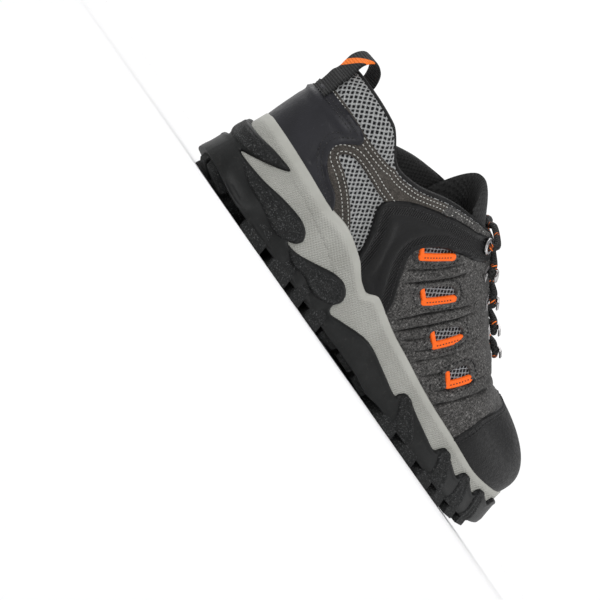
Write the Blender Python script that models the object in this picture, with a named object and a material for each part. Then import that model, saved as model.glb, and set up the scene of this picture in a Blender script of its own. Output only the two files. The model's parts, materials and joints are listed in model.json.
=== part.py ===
"""A right-foot low hiking shoe, standing empty on its lugged sole.

Run it in Blender 4.5: blender --background --python part.py

The shoe's own frame: +X to the toe, +Y to the inner (medial) side, +Z up. Sizes are in millimetres, and
solid() turns them into metres. While the pieces are made, x is measured from the back of the upper, and s
is x as a share of the upper's length. Last of all the shoe moves so that its origin is on the floor, in
the middle of its bounding box.

Every form is read in upright planes that stand round the shoe like the spokes and ties of a stadium: they
fan out round the heel, stand square to the shoe along its sides, and fan out again round the toe. In each
plane a piece is a short profile of (reach out from the plane's foot, height) points, so pieces that lie on
each other share their facets and stay a constant gap apart.
"""

from math import cos, pi, radians, sin, tau

import bmesh
import bpy
import numpy as np
from mathutils import Matrix

# ---- Overall sizes -------------------------------------------------------------------------------------
LAST_LENGTH = 287.0     # the upper's length at its widest level
BALL_WIDTH = 99.0       # the upper across the ball of the foot
WAIST_WIDTH = 76.0      # and across the waist
HEEL_WIDTH = 67.0       # and across the heel
TOE_BOX_HEIGHT = 64.0   # the upper's top over the floor, above the toe joint
INSTEP_HEIGHT = 93.0    # and at the middle of the lacing
COLLAR_BACK = 95.0      # the collar's edge over the floor, at the back
COLLAR_DIP = 83.0       # and at its lowest, under the ankle
GAP = 0.3               # between pieces that lie on each other

# ---- Upper ---------------------------------------------------------------------------------------------
UPPER_WALL = 2.2
COLLAR_PAD = 4.6        # what the padding adds to the wall at the collar
PAD_DROP = 26.0         # how far down from the edge the padding fades out
THROAT_TOP = 0.43       # the top pair of eyelets, where the collar becomes the throat
THROAT_END = 0.705      # the front end of the throat
THROAT_HALF = 21.0      # half the throat's width at the top eyelets
ROUND = 2.15            # how square the upper is in section: 2 is an ellipse
OVERLAY = 1.5           # the toe cap, heel counter and saddles stand this proud
OVERLAY_SHY = 1.8       # and stop this far under the collar's or the throat's edge

# ---- Sole ----------------------------------------------------------------------------------------------
HEEL_STACK = 29.0       # the foot's bed over the floor, under the heel
BALL_STACK = 17.0       # and under the ball
TOE_SPRING = 13.0       # how far the tread's tip curls up from the floor
HEEL_BEVEL = 5.0        # how far the tread's back curls up
LUG_DEPTH = 5.0
BUTTRESS = 7.5          # how far the lugs on the edge climb the wrap
PLATE = 3.0             # the outsole between its lugs
WRAP = 2.4              # the outsole where it climbs the midsole's side
RIM = 2.0               # the midsole's edge past the upper
FLARE = 4.2             # how much further out the midsole stands at its foot

# ---- Lacing and heel loop ------------------------------------------------------------------------------
LACE_RADIUS = 1.9
HOOKS_FROM, HOOKS_TO = 0.488, 0.675   # the first and last pair of hooks along the upper
HOOK_PAIRS = 4
HOOK_OUT = 4.0          # a hook's neck stands this far outside the throat's edge
LACE_CLEAR = 0.6        # between the lace and what it lies on
NECK = 1.2              # half the width of a hook's neck
HOOK_FOOT = 1.7         # the top of a hook's foot over the upper
LACE_RISE = HOOK_FOOT + LACE_RADIUS + LACE_CLEAR   # the lace's middle over the upper, in a hook
EYELET_DOWN = 2.0       # the top eyelets' middle, down from where a hook's neck would be
LOOP_WIDTH = 15.0       # the webbing loop at the heel
LOOP_RISE = 10.0        # how far it stands over the collar
WEBBING = 1.6

# ---- Mesh ----------------------------------------------------------------------------------------------
HEEL_PLANES, SIDE_PLANES, TOE_PLANES = 6, 21, 8    # for half the shoe
ROWS = 6                # up the upper, over its widest level
HEEL_CENTRE, TOE_CENTRE = 0.14, 0.77               # the feet of the two fans, as shares of the length
CENTRE_SHIFT = 4.0      # the toe fan's foot stands this far to the inner side


def smooth(*pairs):
    """A curve through a few (place, value) pairs that never swings past them, and is level beyond them."""
    xs, ys = np.array(pairs, float).T
    rise = np.diff(ys) / np.diff(xs)
    slope = np.zeros(len(xs))
    same = rise[1:] * rise[:-1] > 0
    slope[1:-1][same] = 2 * (rise[1:] * rise[:-1])[same] / (rise[1:] + rise[:-1])[same]

    def value(x):
        x = np.clip(np.asarray(x, float), xs[0], xs[-1])
        i = np.clip(np.searchsorted(xs, x) - 1, 0, len(xs) - 2)
        h = xs[i + 1] - xs[i]
        t = (x - xs[i]) / h
        return (
            ys[i] * (1 + 2 * t) * (1 - t) ** 2
            + ys[i + 1] * t**2 * (3 - 2 * t)
            + h * slope[i] * t * (1 - t) ** 2
            + h * slope[i + 1] * t**2 * (t - 1)
        )

    return value


def round_through(points, per_span=8, closed=True):
    """A smooth line through points (a Catmull-Rom spline), per_span points to each span."""
    p = np.array(points, float)
    if not closed:
        p = np.vstack([2 * p[0] - p[1], p, 2 * p[-1] - p[-2]])
    n = len(p)
    line = []
    for i in range(n if closed else n - 3):
        a, b, c, d = (p[(i + k - closed) % n] for k in range(4))
        for t in np.arange(per_span) / per_span:
            line.append(
                0.5 * (2 * b + (c - a) * t + (2 * a - 5 * b + 4 * c - d) * t**2 + (3 * b - a - 3 * c + d) * t**3)
            )
    if not closed:
        line.append(p[-2])
    return np.array(line)


# ---- The last, and the levels of the sole --------------------------------------------------------------
def last_outline():
    """The upper's outline from above at its widest level, from the back round by the outer side."""
    length, ball, waist, heel = LAST_LENGTH, BALL_WIDTH / 2, WAIST_WIDTH / 2, HEEL_WIDTH / 2
    shares = [
        (0.000, 0), (0.030, -0.58 * heel), (0.085, -0.90 * heel), (0.170, -1.00 * heel),
        (0.290, -1.03 * heel), (0.420, -1.02 * waist), (0.550, -0.87 * ball), (0.670, -1.00 * ball),
        (0.770, -0.99 * ball), (0.870, -0.84 * ball), (0.945, -0.57 * ball), (0.988, -0.20 * ball),
        (1.000, 0.14 * ball), (0.985, 0.46 * ball), (0.935, 0.73 * ball), (0.855, 0.91 * ball),
        (0.760, 0.99 * ball), (0.670, 0.97 * ball), (0.570, 0.82 * ball), (0.470, 0.90 * waist),
        (0.380, 0.84 * waist), (0.280, 0.93 * heel), (0.170, 1.00 * heel), (0.085, 0.90 * heel),
        (0.030, 0.58 * heel),
    ]
    return round_through([(s * length, y) for s, y in shares])


tread = smooth(
    (-0.030, HEEL_BEVEL), (0.050, 0), (0.300, 0), (0.385, 2.2), (0.440, 2.2), (0.510, 0),
    (0.775, 0), (0.870, 0.20 * TOE_SPRING), (0.950, 0.60 * TOE_SPRING), (1.030, TOE_SPRING),
)
lug_depth = smooth((0.300, LUG_DEPTH), (0.370, 0.56 * LUG_DEPTH), (0.480, 0.56 * LUG_DEPTH), (0.540, LUG_DEPTH))
bed = smooth(
    (0.000, HEEL_STACK), (0.250, HEEL_STACK), (0.480, 0.3 * HEEL_STACK + 0.7 * BALL_STACK),
    (0.640, BALL_STACK), (0.780, BALL_STACK), (0.900, BALL_STACK + 0.35 * TOE_SPRING),
    (1.000, BALL_STACK + 0.80 * TOE_SPRING),
)
edge_rise = smooth((0.000, 17.0), (0.200, 14.5), (0.355, 13.0), (0.600, 12.5), (0.850, 10.0), (1.000, 9.0))
widest = smooth((0.000, 24.0), (0.300, 25.0), (0.650, 19.0), (1.000, 14.0))
ridge = smooth(
    (0.140, INSTEP_HEIGHT + 57), (0.250, INSTEP_HEIGHT + 51), (0.350, INSTEP_HEIGHT + 38),
    (0.430, INSTEP_HEIGHT + 23), (0.550, INSTEP_HEIGHT), (0.650, 0.45 * INSTEP_HEIGHT + 0.55 * TOE_BOX_HEIGHT),
    (0.770, TOE_BOX_HEIGHT),
)
collar = smooth(
    (0.000, COLLAR_BACK), (0.080, COLLAR_BACK - 1.5), (0.165, COLLAR_DIP), (0.215, COLLAR_DIP + 3),
    (0.300, COLLAR_DIP + 14.5), (0.370, COLLAR_DIP + 21), (0.430, COLLAR_DIP + 25), (0.500, COLLAR_DIP + 57),
)


# The wrap's upper edge over the floor: two rounded waves at the heel, a low band, then a climb to the toe.
wave_outer = smooth(
    (-0.030, 33), (0.030, 35), (0.075, 17), (0.105, 17), (0.150, 26), (0.185, 26), (0.235, 15), (0.265, 15),
    (0.300, 25), (0.325, 24), (0.352, 14), (0.415, 20), (0.550, 17), (0.690, 18), (0.800, 21), (1.030, 31),
)
wave_inner = smooth(
    (-0.030, 33), (0.030, 35), (0.075, 19), (0.120, 19), (0.170, 26), (0.235, 17), (0.300, 24), (0.360, 16),
    (0.550, 16), (0.690, 18), (0.800, 21), (1.030, 31),
)


def base(s):
    """The outsole's underside between its lugs."""
    return tread(s) + lug_depth(s)


def edge(s):
    """The midsole's top edge, where the upper comes out of it."""
    return bed(s) + edge_rise(s)


class Planes:
    """The upright planes: foot is each one's foot, way its direction out, reach the last's outline."""

    def __init__(self, heel=HEEL_PLANES, side=SIDE_PLANES, toe=TOE_PLANES):
        turn_heel = np.arange(heel) / heel * pi / 2
        turn_toe = np.arange(1, toe + 1) / toe * pi / 2
        along = np.linspace(HEEL_CENTRE, TOE_CENTRE, side + 1)
        s = np.r_[np.full(heel, HEEL_CENTRE), along, np.full(toe, TOE_CENTRE)]
        way = np.r_[
            np.c_[-np.cos(turn_heel), -np.sin(turn_heel)],
            np.tile([0.0, -1.0], (side + 1, 1)),
            np.c_[np.sin(turn_toe), -np.cos(turn_toe)],
        ]
        back = slice(len(s) - 2, 0, -1)
        self.s = np.r_[s, s[back]]
        self.way = np.vstack([way, way[back] * [1, -1]])
        self.foot = np.c_[self.s * LAST_LENGTH, centre(self.s)]
        self.half = len(s) - 1
        self.count = 2 * self.half
        self.reach = self.to_outline(last_outline())
        self.tip = self.foot + self.way * self.reach[:, None]
        self.at = self.tip[:, 0] / LAST_LENGTH
        self.inner = self.way[:, 1] > 0

    def to_outline(self, outline):
        """How far each plane runs from its foot to a closed outline."""
        a, b = outline, np.roll(outline, -1, axis=0)
        found = np.zeros(self.count)
        for i, (foot, way) in enumerate(zip(self.foot, self.way)):
            side_a = (a - foot) @ [-way[1], way[0]]
            side_b = (b - foot) @ [-way[1], way[0]]
            crossed = side_a * side_b <= 0
            t = side_a[crossed] / (side_a[crossed] - side_b[crossed] + 1e-12)
            hit = a[crossed] + (b[crossed] - a[crossed]) * t[:, None]
            found[i] = ((hit - foot) @ way).max()
        return found

    def points(self, reach, height):
        """One ring of points, at these reaches and heights."""
        place = self.foot + self.way * np.broadcast_to(reach, self.count)[:, None]
        return np.c_[place, np.broadcast_to(height, self.count)]


def centre(s):
    """The planes' feet wander to the inner side towards the toe."""
    return CENTRE_SHIFT * np.clip((s - HEEL_CENTRE) / (TOE_CENTRE - HEEL_CENTRE), 0, 1) ** 2


# ---- The upper's function ------------------------------------------------------------------------------
def upper_reach(p, z):
    """The upper's outer reach at height z in each plane, up to its ridge."""
    wide = bed(p.at) + widest(p.at)
    top = ridge(p.s)
    below = np.clip((wide - z) / (wide - bed(p.at)), 0, 1)
    above = np.clip((z - wide) / (top - wide), 0, 1)
    return p.reach * (1 - 0.045 * below**2) * np.clip(1 - above**ROUND, 0, 1) ** (1 / ROUND)


def upper_height(p, share):
    """The height where the upper's reach has shrunk to that share, which is the inverse of upper_reach."""
    wide = bed(p.at) + widest(p.at)
    above = np.clip(1 - np.clip(share, 0, 1) ** ROUND, 0, 1) ** (1 / ROUND)
    return wide + (ridge(p.s) - wide) * above


def throat_half(s):
    """Half the throat's width, which narrows from the top eyelets to a round front end."""
    run = np.clip((s - THROAT_TOP) / (THROAT_END - THROAT_TOP), 0, 1)
    return THROAT_HALF * (1 - 0.30 * run) * np.sqrt(1 - run**9)


def is_open(p):
    """Whether a plane meets the collar or the throat before it reaches the ridge."""
    return p.s < THROAT_END - 1e-6


def upper_top(p):
    """Where the upper's outer face ends in each plane: at the collar, at the throat, or at the ridge."""
    throat = upper_height(p, throat_half(p.s) / p.reach)
    return np.where(is_open(p), np.minimum(collar(p.at), throat), ridge(p.s))


def upper_rings(p, lift=0.0, overlay=False):
    """Rings up the upper's outer face, lifted off it by lift.

    An overlay starts over the midsole's edge and stops under the upper's own edge, but between them it
    has the upper's levels, so that the two keep their gap.
    """
    wide = bed(p.at) + widest(p.at)
    rim = edge(p.at)
    levels = [rim + GAP] if overlay else [bed(p.at) + GAP, rim]
    levels += [(rim + wide) / 2, wide]
    top = upper_top(p)
    # Above the widest level the rows step evenly in angle, which keeps them even over the round top.
    angle = np.arcsin(np.clip((top - wide) / (ridge(p.s) - wide), 0, 1) ** (ROUND / 2))
    for t in np.arange(1, ROWS + 1) / ROWS:
        levels.append(wide + (ridge(p.s) - wide) * np.sin(angle * t) ** (2 / ROUND))
    rings = np.array([p.points(upper_reach(p, z), z) for z in levels])
    if overlay:
        last = rings[-2] - rings[-1]
        share = OVERLAY_SHY / np.maximum(np.linalg.norm(last, axis=1), 1e-9) * is_open(p)
        rings[-1] += last * share[:, None]
    if lift:
        rings = rings + lift_of(rings, p) * lift
    if overlay:
        rings[0, :, 2] = rim + GAP
    return rings


def lift_of(rings, p):
    """Unit normals of rings of points that climb a face, pointing out."""
    round_ = np.roll(rings, -1, axis=1) - np.roll(rings, 1, axis=1)
    up = np.gradient(rings, axis=0)
    normal = np.cross(round_, up)
    size = np.linalg.norm(normal, axis=2, keepdims=True)
    # Over the closed ridge the planes meet, and the normal there is the upright one across the ridge.
    closed = ~is_open(p)
    n = normal / np.maximum(size, 1e-9)
    slope = ridge_slope(p.s[closed])
    n[-1, closed] = np.c_[-slope, np.zeros_like(slope), np.ones_like(slope)] / np.sqrt(1 + slope**2)[:, None]
    return n


def ridge_slope(s):
    """The ridge's slope, as a rise over a run."""
    step = 0.01
    return (ridge(s + step) - ridge(s - step)) / (2 * step * LAST_LENGTH)


# ---- Making solids -------------------------------------------------------------------------------------
def clear_scene():
    for obj in list(bpy.data.objects):
        bpy.data.objects.remove(obj, do_unlink=True)


def material(name, colour, roughness, metallic=0.0):
    made = bpy.data.materials.new(name)
    made.use_nodes = True
    shader = made.node_tree.nodes["Principled BSDF"]
    shader.inputs["Base Color"].default_value = (*colour, 1)
    shader.inputs["Roughness"].default_value = roughness
    shader.inputs["Metallic"].default_value = metallic
    return made


def solid(name, points, faces, finish=None, smooth_under=40):
    """An object of these points, in millimetres, and faces, joined where points coincide, facing out."""
    mesh = bpy.data.meshes.new(name)
    mesh.from_pydata([tuple(q) for q in np.asarray(points) * 0.001], [], [tuple(f) for f in faces])
    work = bmesh.new()
    work.from_mesh(mesh)
    bmesh.ops.remove_doubles(work, verts=work.verts, dist=2e-6)
    bmesh.ops.dissolve_degenerate(work, edges=work.edges, dist=1e-6)
    bmesh.ops.recalc_face_normals(work, faces=work.faces)
    work.to_mesh(mesh)
    work.free()
    obj = bpy.data.objects.new(name, mesh)
    bpy.context.scene.collection.objects.link(obj)
    if finish:
        mesh.materials.append(finish)
    mesh.shade_smooth()
    mesh.set_sharp_from_angle(angle=radians(smooth_under))
    return obj


def bridge(rings, wanted=None, turn_at=None):
    """Triangles between each ring and the next. wanted[k][i] says whether span k is closed at column i.

    From span turn_at on, the rings run back down the shoe, and the diagonals swap, so that two faces that
    lie on each other are folded the same way.
    """
    count = len(rings[0])
    faces = []
    for k in range(len(rings) - 1):
        for i in range(count):
            if wanted is None or wanted[k][i]:
                j = (i + 1) % count
                a, b, c, d = k * count + i, k * count + j, (k + 1) * count + j, (k + 1) * count + i
                down = turn_at is not None and k >= turn_at
                faces += [(a, b, d), (b, c, d)] if down else [(a, b, c), (a, c, d)]
    return faces


def lid(first, count, turned=False):
    """Faces across a ring that starts at index first, tied square across the shoe from side to side."""
    half = count // 2
    faces = [(0, 1, count - 1)]
    for i in range(1, half - 1):
        faces += [(i, i + 1, count - i - 1), (i, count - i - 1, count - i)]
    faces += [(half - 1, half, half + 1)]
    return [tuple(first + i for i in (f[::-1] if turned else f)) for f in faces]


def closed_shell(name, rings, finish, turn_at=None):
    """A solid of rings of points, with a lid across the first and the last."""
    count = len(rings[0])
    faces = bridge(rings, turn_at=turn_at) + lid(0, count) + lid((len(rings) - 1) * count, count, turned=True)
    return solid(name, np.concatenate(rings), faces, finish)


def prism(name, outline, low, high, axis):
    """A cutter: a flat outline carried along axis 'y' (an outline of x, z) or 'z' (an outline of x, y)."""
    outline = np.array(outline, float)
    n = len(outline)
    ends = []
    for at in (low, high):
        column = np.full(n, float(at))
        if axis == "y":
            ends.append(np.c_[outline[:, 0], column, outline[:, 1]])
        else:
            ends.append(np.c_[outline, column])
    faces = [tuple(range(n)), tuple(range(2 * n - 1, n - 1, -1))]
    faces += [(i, (i + 1) % n, n + (i + 1) % n, n + i) for i in range(n)]
    obj = solid(name, np.concatenate(ends), faces)
    obj.hide_render = True
    obj.display_type = "WIRE"
    return obj


def boolean(obj, operation, other):
    """Adds a Boolean, and applies it, so that the next one works on its result."""
    modifier = obj.modifiers.new(operation.title(), "BOOLEAN")
    modifier.operation = operation
    modifier.object = other
    modifier.solver = "EXACT"
    modifier.use_self = True
    graph = bpy.context.evaluated_depsgraph_get()
    made = bpy.data.meshes.new_from_object(obj.evaluated_get(graph))
    obj.modifiers.clear()
    obj.data = made
    made.shade_smooth()
    made.set_sharp_from_angle(angle=radians(40))
    bpy.data.objects.remove(other, do_unlink=True)


# ---- Pieces --------------------------------------------------------------------------------------------
def wall_at(p, rings):
    """The upper's wall at each point: thin, and padded towards the collar's edge."""
    top = upper_top(p)
    down = top - rings[..., 2]
    pad = np.clip(1 - down / PAD_DROP, 0, 1)
    fade = np.clip((THROAT_TOP - 0.05 - p.at) / 0.06, 0, 1) * is_open(p)
    return UPPER_WALL + COLLAR_PAD * fade * pad**0.6 * (1 - 0.35 * pad)


def two_faced(name, p, outer, inner, crest, finish):
    """A wall between two sheets of rings, joined underneath, and over the crest where the shoe is open."""
    rings = [*outer, crest, *inner[::-1], outer[0]]
    gate = is_open(p) | np.roll(is_open(p), -1)
    always = np.ones(p.count, bool)
    top = len(outer) - 1
    wanted = [gate if k in (top, top + 1) else always for k in range(len(rings) - 1)]
    return solid(name, np.concatenate(rings), bridge(rings, wanted, turn_at=top + 1), finish)


def upper(p, finish):
    """The fabric and leather body, one wall, open at the collar, at the throat and underneath."""
    outer = upper_rings(p)
    thick = wall_at(p, outer)
    inner = outer - lift_of(outer, p) * thick[..., None]
    inner[:, :, 2] = np.maximum(inner[:, :, 2], outer[0, :, 2])
    inner[0, :, 2] = outer[0, :, 2]
    # The edge is rounded: its crest stands past the faces by a share of the wall.
    up = outer[-1] - outer[-2]
    up /= np.maximum(np.linalg.norm(up, axis=1, keepdims=True), 1e-9)
    crest = (outer[-1] + inner[-1]) / 2 + up * (0.30 * thick[-1] * is_open(p))[:, None]
    return two_faced("upper", p, outer, inner, crest, finish)


def overlay(name, p, cutter, finish):
    """A layer over the upper, GAP off it and OVERLAY thick, kept where the cutter covers it."""
    near = upper_rings(p, GAP, overlay=True)
    far = upper_rings(p, GAP + OVERLAY, overlay=True)
    obj = two_faced(name, p, far, near, (far[-1] + near[-1]) / 2, finish)
    boolean(obj, "INTERSECT", cutter)
    return obj


def toe_cap(p, finish):
    """The cap: its rear edge is a bow across the top, furthest back at the sides."""
    x, bow = 0.710 * LAST_LENGTH, 0.105 * LAST_LENGTH
    y = np.linspace(-1.15, 1.15, 15) * BALL_WIDTH / 2
    edge_line = np.c_[x + bow * np.cos(np.clip(y / BALL_WIDTH, -0.5, 0.5) * pi), y]
    front = LAST_LENGTH + 20
    outline = [*edge_line, (front, y[-1]), (front, y[0])]
    return overlay("toe_cap", p, prism("cut", outline, 5, 130, "z"), finish)


def heel_counter(p, finish):
    """The counter: low in front, with a lobe that points forward under the collar."""
    outline = round_through([
        (0.170, 36), (0.150, 45), (0.105, 52), (0.070, 58), (0.060, 65), (0.078, 73), (0.074, COLLAR_BACK - 17),
        (0.040, COLLAR_BACK - 16), (0.000, COLLAR_BACK - 17),
    ], per_span=3, closed=False) * [LAST_LENGTH, 1]
    outline = [*outline, (-20, COLLAR_BACK - 17), (-20, 30), (0.170 * LAST_LENGTH, 30)]
    return overlay("heel_counter", p, prism("cut", outline, -70, 70, "y"), finish)


def saddle(name, p, side, finish):
    """One of the two saddles: it climbs from the waist of the sole, bows back, and ends at the top eyelet."""
    crown = COLLAR_DIP + 22
    outline = round_through([
        (0.268, 34), (0.238, 50), (0.204, 62), (0.199, 69), (0.232, 79), (0.285, COLLAR_DIP + 6),
        (0.340, COLLAR_DIP + 13), (0.400, crown - 3), (0.440, crown + 1), (0.462, crown - 5), (0.440, crown - 12),
        (0.390, crown - 19), (0.335, 75), (0.324, 66), (0.348, 55), (0.383, 44), (0.396, 34),
    ], per_span=3, closed=False) * [LAST_LENGTH, 1]
    outline = [*outline, (0.396 * LAST_LENGTH, 26), (0.268 * LAST_LENGTH, 26)]
    low, high = (5, 80) if side > 0 else (-80, -5)
    return overlay(name, p, prism("cut", outline, low, high, "y"), finish)


def side_reach(p, z):
    """The midsole's outer face: it flares towards its foot."""
    low, high = base(p.at) + PLATE, edge(p.at)
    up = np.clip((z - low) / (high - low), 0, 1)
    inner_waist = np.where(p.inner, 1.5 * np.exp(-(((p.at - 0.42) / 0.12) ** 2)), 0)
    top = upper_reach(p, high) + RIM
    return top + (FLARE - inner_waist) * (1 - up) ** 1.3


def wrap_levels(p):
    """The heights where the outsole's wrap starts, and ends, on the midsole's side."""
    low = base(p.at) + PLATE
    wave = np.where(p.inner, wave_inner(p.at), wave_outer(p.at))
    return low, np.clip(wave, low + 2, edge(p.at) - 2.5)


def midsole(p, finish):
    """The foam between outsole and upper, with a rim that laps the upper's foot."""
    low, high = wrap_levels(p)
    rim = edge(p.at)
    levels = [low + GAP, (low + high) / 2, high, (high + rim) / 2, rim]
    rings = [p.points(side_reach(p, z), z) for z in levels]
    rings.append(p.points(upper_reach(p, rim) + GAP, rim))
    rings.append(p.points(upper_reach(p, bed(p.at)) + GAP, bed(p.at)))
    return closed_shell("midsole", rings, finish, turn_at=5)


def outsole_reach(p, z):
    """The rubber's outer face."""
    return side_reach(p, z) + GAP + WRAP


def outsole(p, finish):
    """The rubber tread, its wrap up the midsole's side, and its lugs."""
    low, high = wrap_levels(p)
    floor = base(p.at)
    rings = [p.points(outsole_reach(p, low) - 1.6, floor), p.points(outsole_reach(p, low), floor + 1.6)]
    for z in ((low + high) / 2, high - 0.8):
        rings.append(p.points(outsole_reach(p, z), z))
    rings.append(p.points(side_reach(p, high) + GAP + 0.4 * WRAP, high))
    for z in (high, (low + high) / 2, low):
        rings.append(p.points(side_reach(p, z) + GAP, z))
    obj = closed_shell("outsole", rings, finish, turn_at=5)
    points, faces = [], []
    for block_points, block_faces in lugs(rings[1], p.points(outsole_reach(p, floor + BUTTRESS), 0)):
        faces += [tuple(len(points) + i for i in f) for f in block_faces]
        points += block_points
    boolean(obj, "UNION", solid("lugs", points, faces))
    return obj


class Footprint:
    """Places on the tread, as (x, share of the half width): -1 is the outer edge and 1 the inner one."""

    def __init__(self, ring):
        half = len(ring) // 2
        self.outer, self.inner = ring[: half + 1], np.vstack([ring[half:], ring[:1]])[::-1]

    def at(self, x, share):
        side = self.inner if share > 0 else self.outer
        x = np.clip(x, side[0, 0] + 0.6, side[-1, 0] - 0.6)
        middle = centre(x / LAST_LENGTH)
        y = np.interp(x, side[:, 0], side[:, 1])
        return np.array([x, middle + abs(share) * (y - middle)])


def lugs(ring, wall_ring):
    """Every lug, as a list of blocks, each its points and faces, that are sunk into the plate."""
    print_, wall = Footprint(ring), Footprint(wall_ring)
    blocks = []

    def add(low, high, low_z, high_z):
        """A block between a low outline on the ground and a high one, each with its heights."""
        n = len(low)
        points = [(*q, z) for q, z in zip(low, np.broadcast_to(low_z, n))]
        points += [(*q, z) for q, z in zip(high, np.broadcast_to(high_z, n))]
        faces = [tuple(range(n)), tuple(range(2 * n - 1, n - 1, -1))]
        faces += [(i, (i + 1) % n, n + (i + 1) % n, n + i) for i in range(n)]
        blocks.append((points, faces))

    def ground(outline):
        return np.array([tread(x / LAST_LENGTH) for x, _ in outline])

    def sunk(outline):
        return np.array([base(x / LAST_LENGTH) + 1.2 for x, _ in outline])

    def block(outline):
        """A block inside the tread: its outline lists (x, share) places."""
        low = np.array([print_.at(*q) for q in outline])
        middle = low.mean(axis=0)
        high = middle + (low - middle) * (1 + 1.2 / np.linalg.norm(low - middle, axis=1).mean())
        add(low, high, ground(low), sunk(high))

    def edge_block(sign, tip_a, tip_b, root_a, root_b, share, out=1.05):
        """A block on the edge: its tips stand past the edge, and buttress the wrap; its roots are at share."""
        points = []
        inset = 0.18 * (tip_b - tip_a)
        for tip, root, high in ((tip_a, root_a, tip_a + inset), (tip_b, root_b, tip_b - inset)):
            into = np.array([0, -sign * WRAP / 2])
            outline = [print_.at(root, share), print_.at(tip, sign * out)]
            outline += [wall.at(high, sign) + into, print_.at(tip, sign) + into, outline[0]]
            z = [*ground(outline[:2]), base(high / LAST_LENGTH) + BUTTRESS, *sunk(outline[3:])]
            points += [(*q, h) for q, h in zip(outline, z)]
        faces = [(0, 1, 3), (1, 2, 3), (0, 3, 4), (5, 8, 6), (6, 8, 7), (5, 9, 8)]
        faces += [(i, 5 + i, 5 + (i + 1) % 5, (i + 1) % 5) for i in range(5)]
        blocks.append((points, faces))

    def ring_lug(x, share, radius, wall):
        """A round lug with a blind hole."""
        middle = print_.at(x, share)
        turn = np.arange(10) / 10 * tau
        circle = np.c_[np.cos(turn), np.sin(turn)]
        points, faces = [], []
        loops = ((radius + 0.6, sunk), (radius, ground), (radius - wall, ground), (radius - wall, None))
        for r, level in loops:
            loop = middle + circle * r
            z = level(loop) if level else base(x / LAST_LENGTH) - 0.9 + 0 * turn
            points.extend([(*q, h) for q, h in zip(loop, z)])
        for k in range(3):
            a, b = 10 * k, 10 * (k + 1)
            faces.extend([(a + i, a + (i + 1) % 10, b + (i + 1) % 10, b + i) for i in range(10)])
        faces += [tuple(range(10)), tuple(range(39, 29, -1))]
        blocks.append((points, faces))

    # Heel, inner side: broad bars that run in from the edge. Outer side: scooped buttresses.
    for tip_a, tip_b, root_a, root_b, share in (
        (16, 32, 20, 27, 0.12), (36, 51, 36, 46, 0.28), (55, 70, 54, 67, -0.22), (75, 87, 72, 81, 0.34),
    ):
        edge_block(1, tip_a, tip_b, root_a, root_b, share)
    for tip_a, tip_b, root_a, root_b, share in (
        (15, 33, 22, 38, -0.72), (40, 58, 45, 60, -0.72), (63, 73, 65, 75, -0.74), (79, 92, 82, 93, -0.74),
    ):
        edge_block(-1, tip_a, tip_b, root_a, root_b, share)
    block([(-3, -0.55), (6, -0.62), (9, -0.12), (-4, -0.10)])
    block([(-4, 0.10), (9, 0.12), (6, 0.62), (-3, 0.55)])
    block([(12, -0.60), (30, -0.58), (27, -0.20), (12, -0.10)])
    ring_lug(42, -0.28, 8.5, 3.2)
    # Waist: small blocks along the inner edge, square ones along the outer edge, two small rings.
    for x in (97, 117, 138):
        block([(x, 0.62), (x + 14, 0.58), (x + 13, 0.88), (x + 1, 0.90)])
    for x in (98, 115, 132):
        block([(x, -0.90), (x + 13, -0.90), (x + 12, -0.66), (x + 3, -0.66)])
    ring_lug(86, -0.42, 5.4, 2.0)
    ring_lug(101, -0.38, 4.8, 1.8)
    # Forefoot, inner side: long wedges. Outer side: chevrons that wrap over the edge. Rings between.
    for tip_a, tip_b, root_a, root_b, share in (
        (162, 178, 168, 174, -0.14), (183, 200, 186, 192, 0.30), (205, 221, 203, 210, -0.06),
        (226, 240, 222, 228, 0.30), (245, 257, 238, 245, 0.10),
    ):
        edge_block(1, tip_a, tip_b, root_a, root_b, share)
    for tip_a, tip_b in ((158, 172), (179, 193), (200, 212), (218, 229), (235, 245), (251, 260)):
        edge_block(-1, tip_a, tip_b, tip_a - 7, tip_b - 5, -0.72)
    for x, share, radius in (
        (188, -0.36, 8.0), (209, -0.38, 9.0), (231, -0.34, 9.0), (251, -0.30, 7.5), (194, 0.02, 6.0), (218, 0.20, 5.0),
    ):
        ring_lug(x, share, radius, 0.38 * radius)
    # Toe: three blocks that climb the spring.
    for low_share, high_share in ((-0.72, -0.28), (-0.16, 0.22), (0.34, 0.76)):
        block([(266, low_share), (277, low_share), (277, high_share), (266, high_share)])
    return blocks


def insole(p, finish):
    """The footbed, lying on the midsole inside the upper's foot."""
    under, over = bed(p.at) + GAP, bed(p.at) + 4.5
    inside = upper_reach(p, under) - UPPER_WALL - 2 * GAP
    rings = [p.points(inside, under), p.points(inside, over - 0.8), p.points(inside - 1.2, over)]
    return closed_shell("insole", rings, finish)


def section(p, s, y, depth):
    """A point across the upper's closed form at station s, y from the middle, sunk by depth below it."""
    side = (p.foot[:, 0] >= HEEL_CENTRE * LAST_LENGTH) & (np.abs(p.way[:, 1]) > 0.999)
    pick = side & (p.inner == (y > 0))
    order = np.argsort(p.s[pick])
    reach = np.interp(s, p.s[pick][order], p.reach[pick][order])
    wide = bed(s) + widest(s)

    def height(at):
        return wide + (ridge(s) - wide) * (1 - min(abs(at) / reach, 0.98) ** ROUND) ** (1 / ROUND)

    slope = (height(y + 0.5) - height(y - 0.5))
    sunk = depth * np.sqrt(1 + ridge_slope(s) ** 2)
    size = np.sqrt(1 + slope**2)
    return np.array([s * LAST_LENGTH, y + centre(s) + sunk * slope / size, height(y) - sunk / size])


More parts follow.
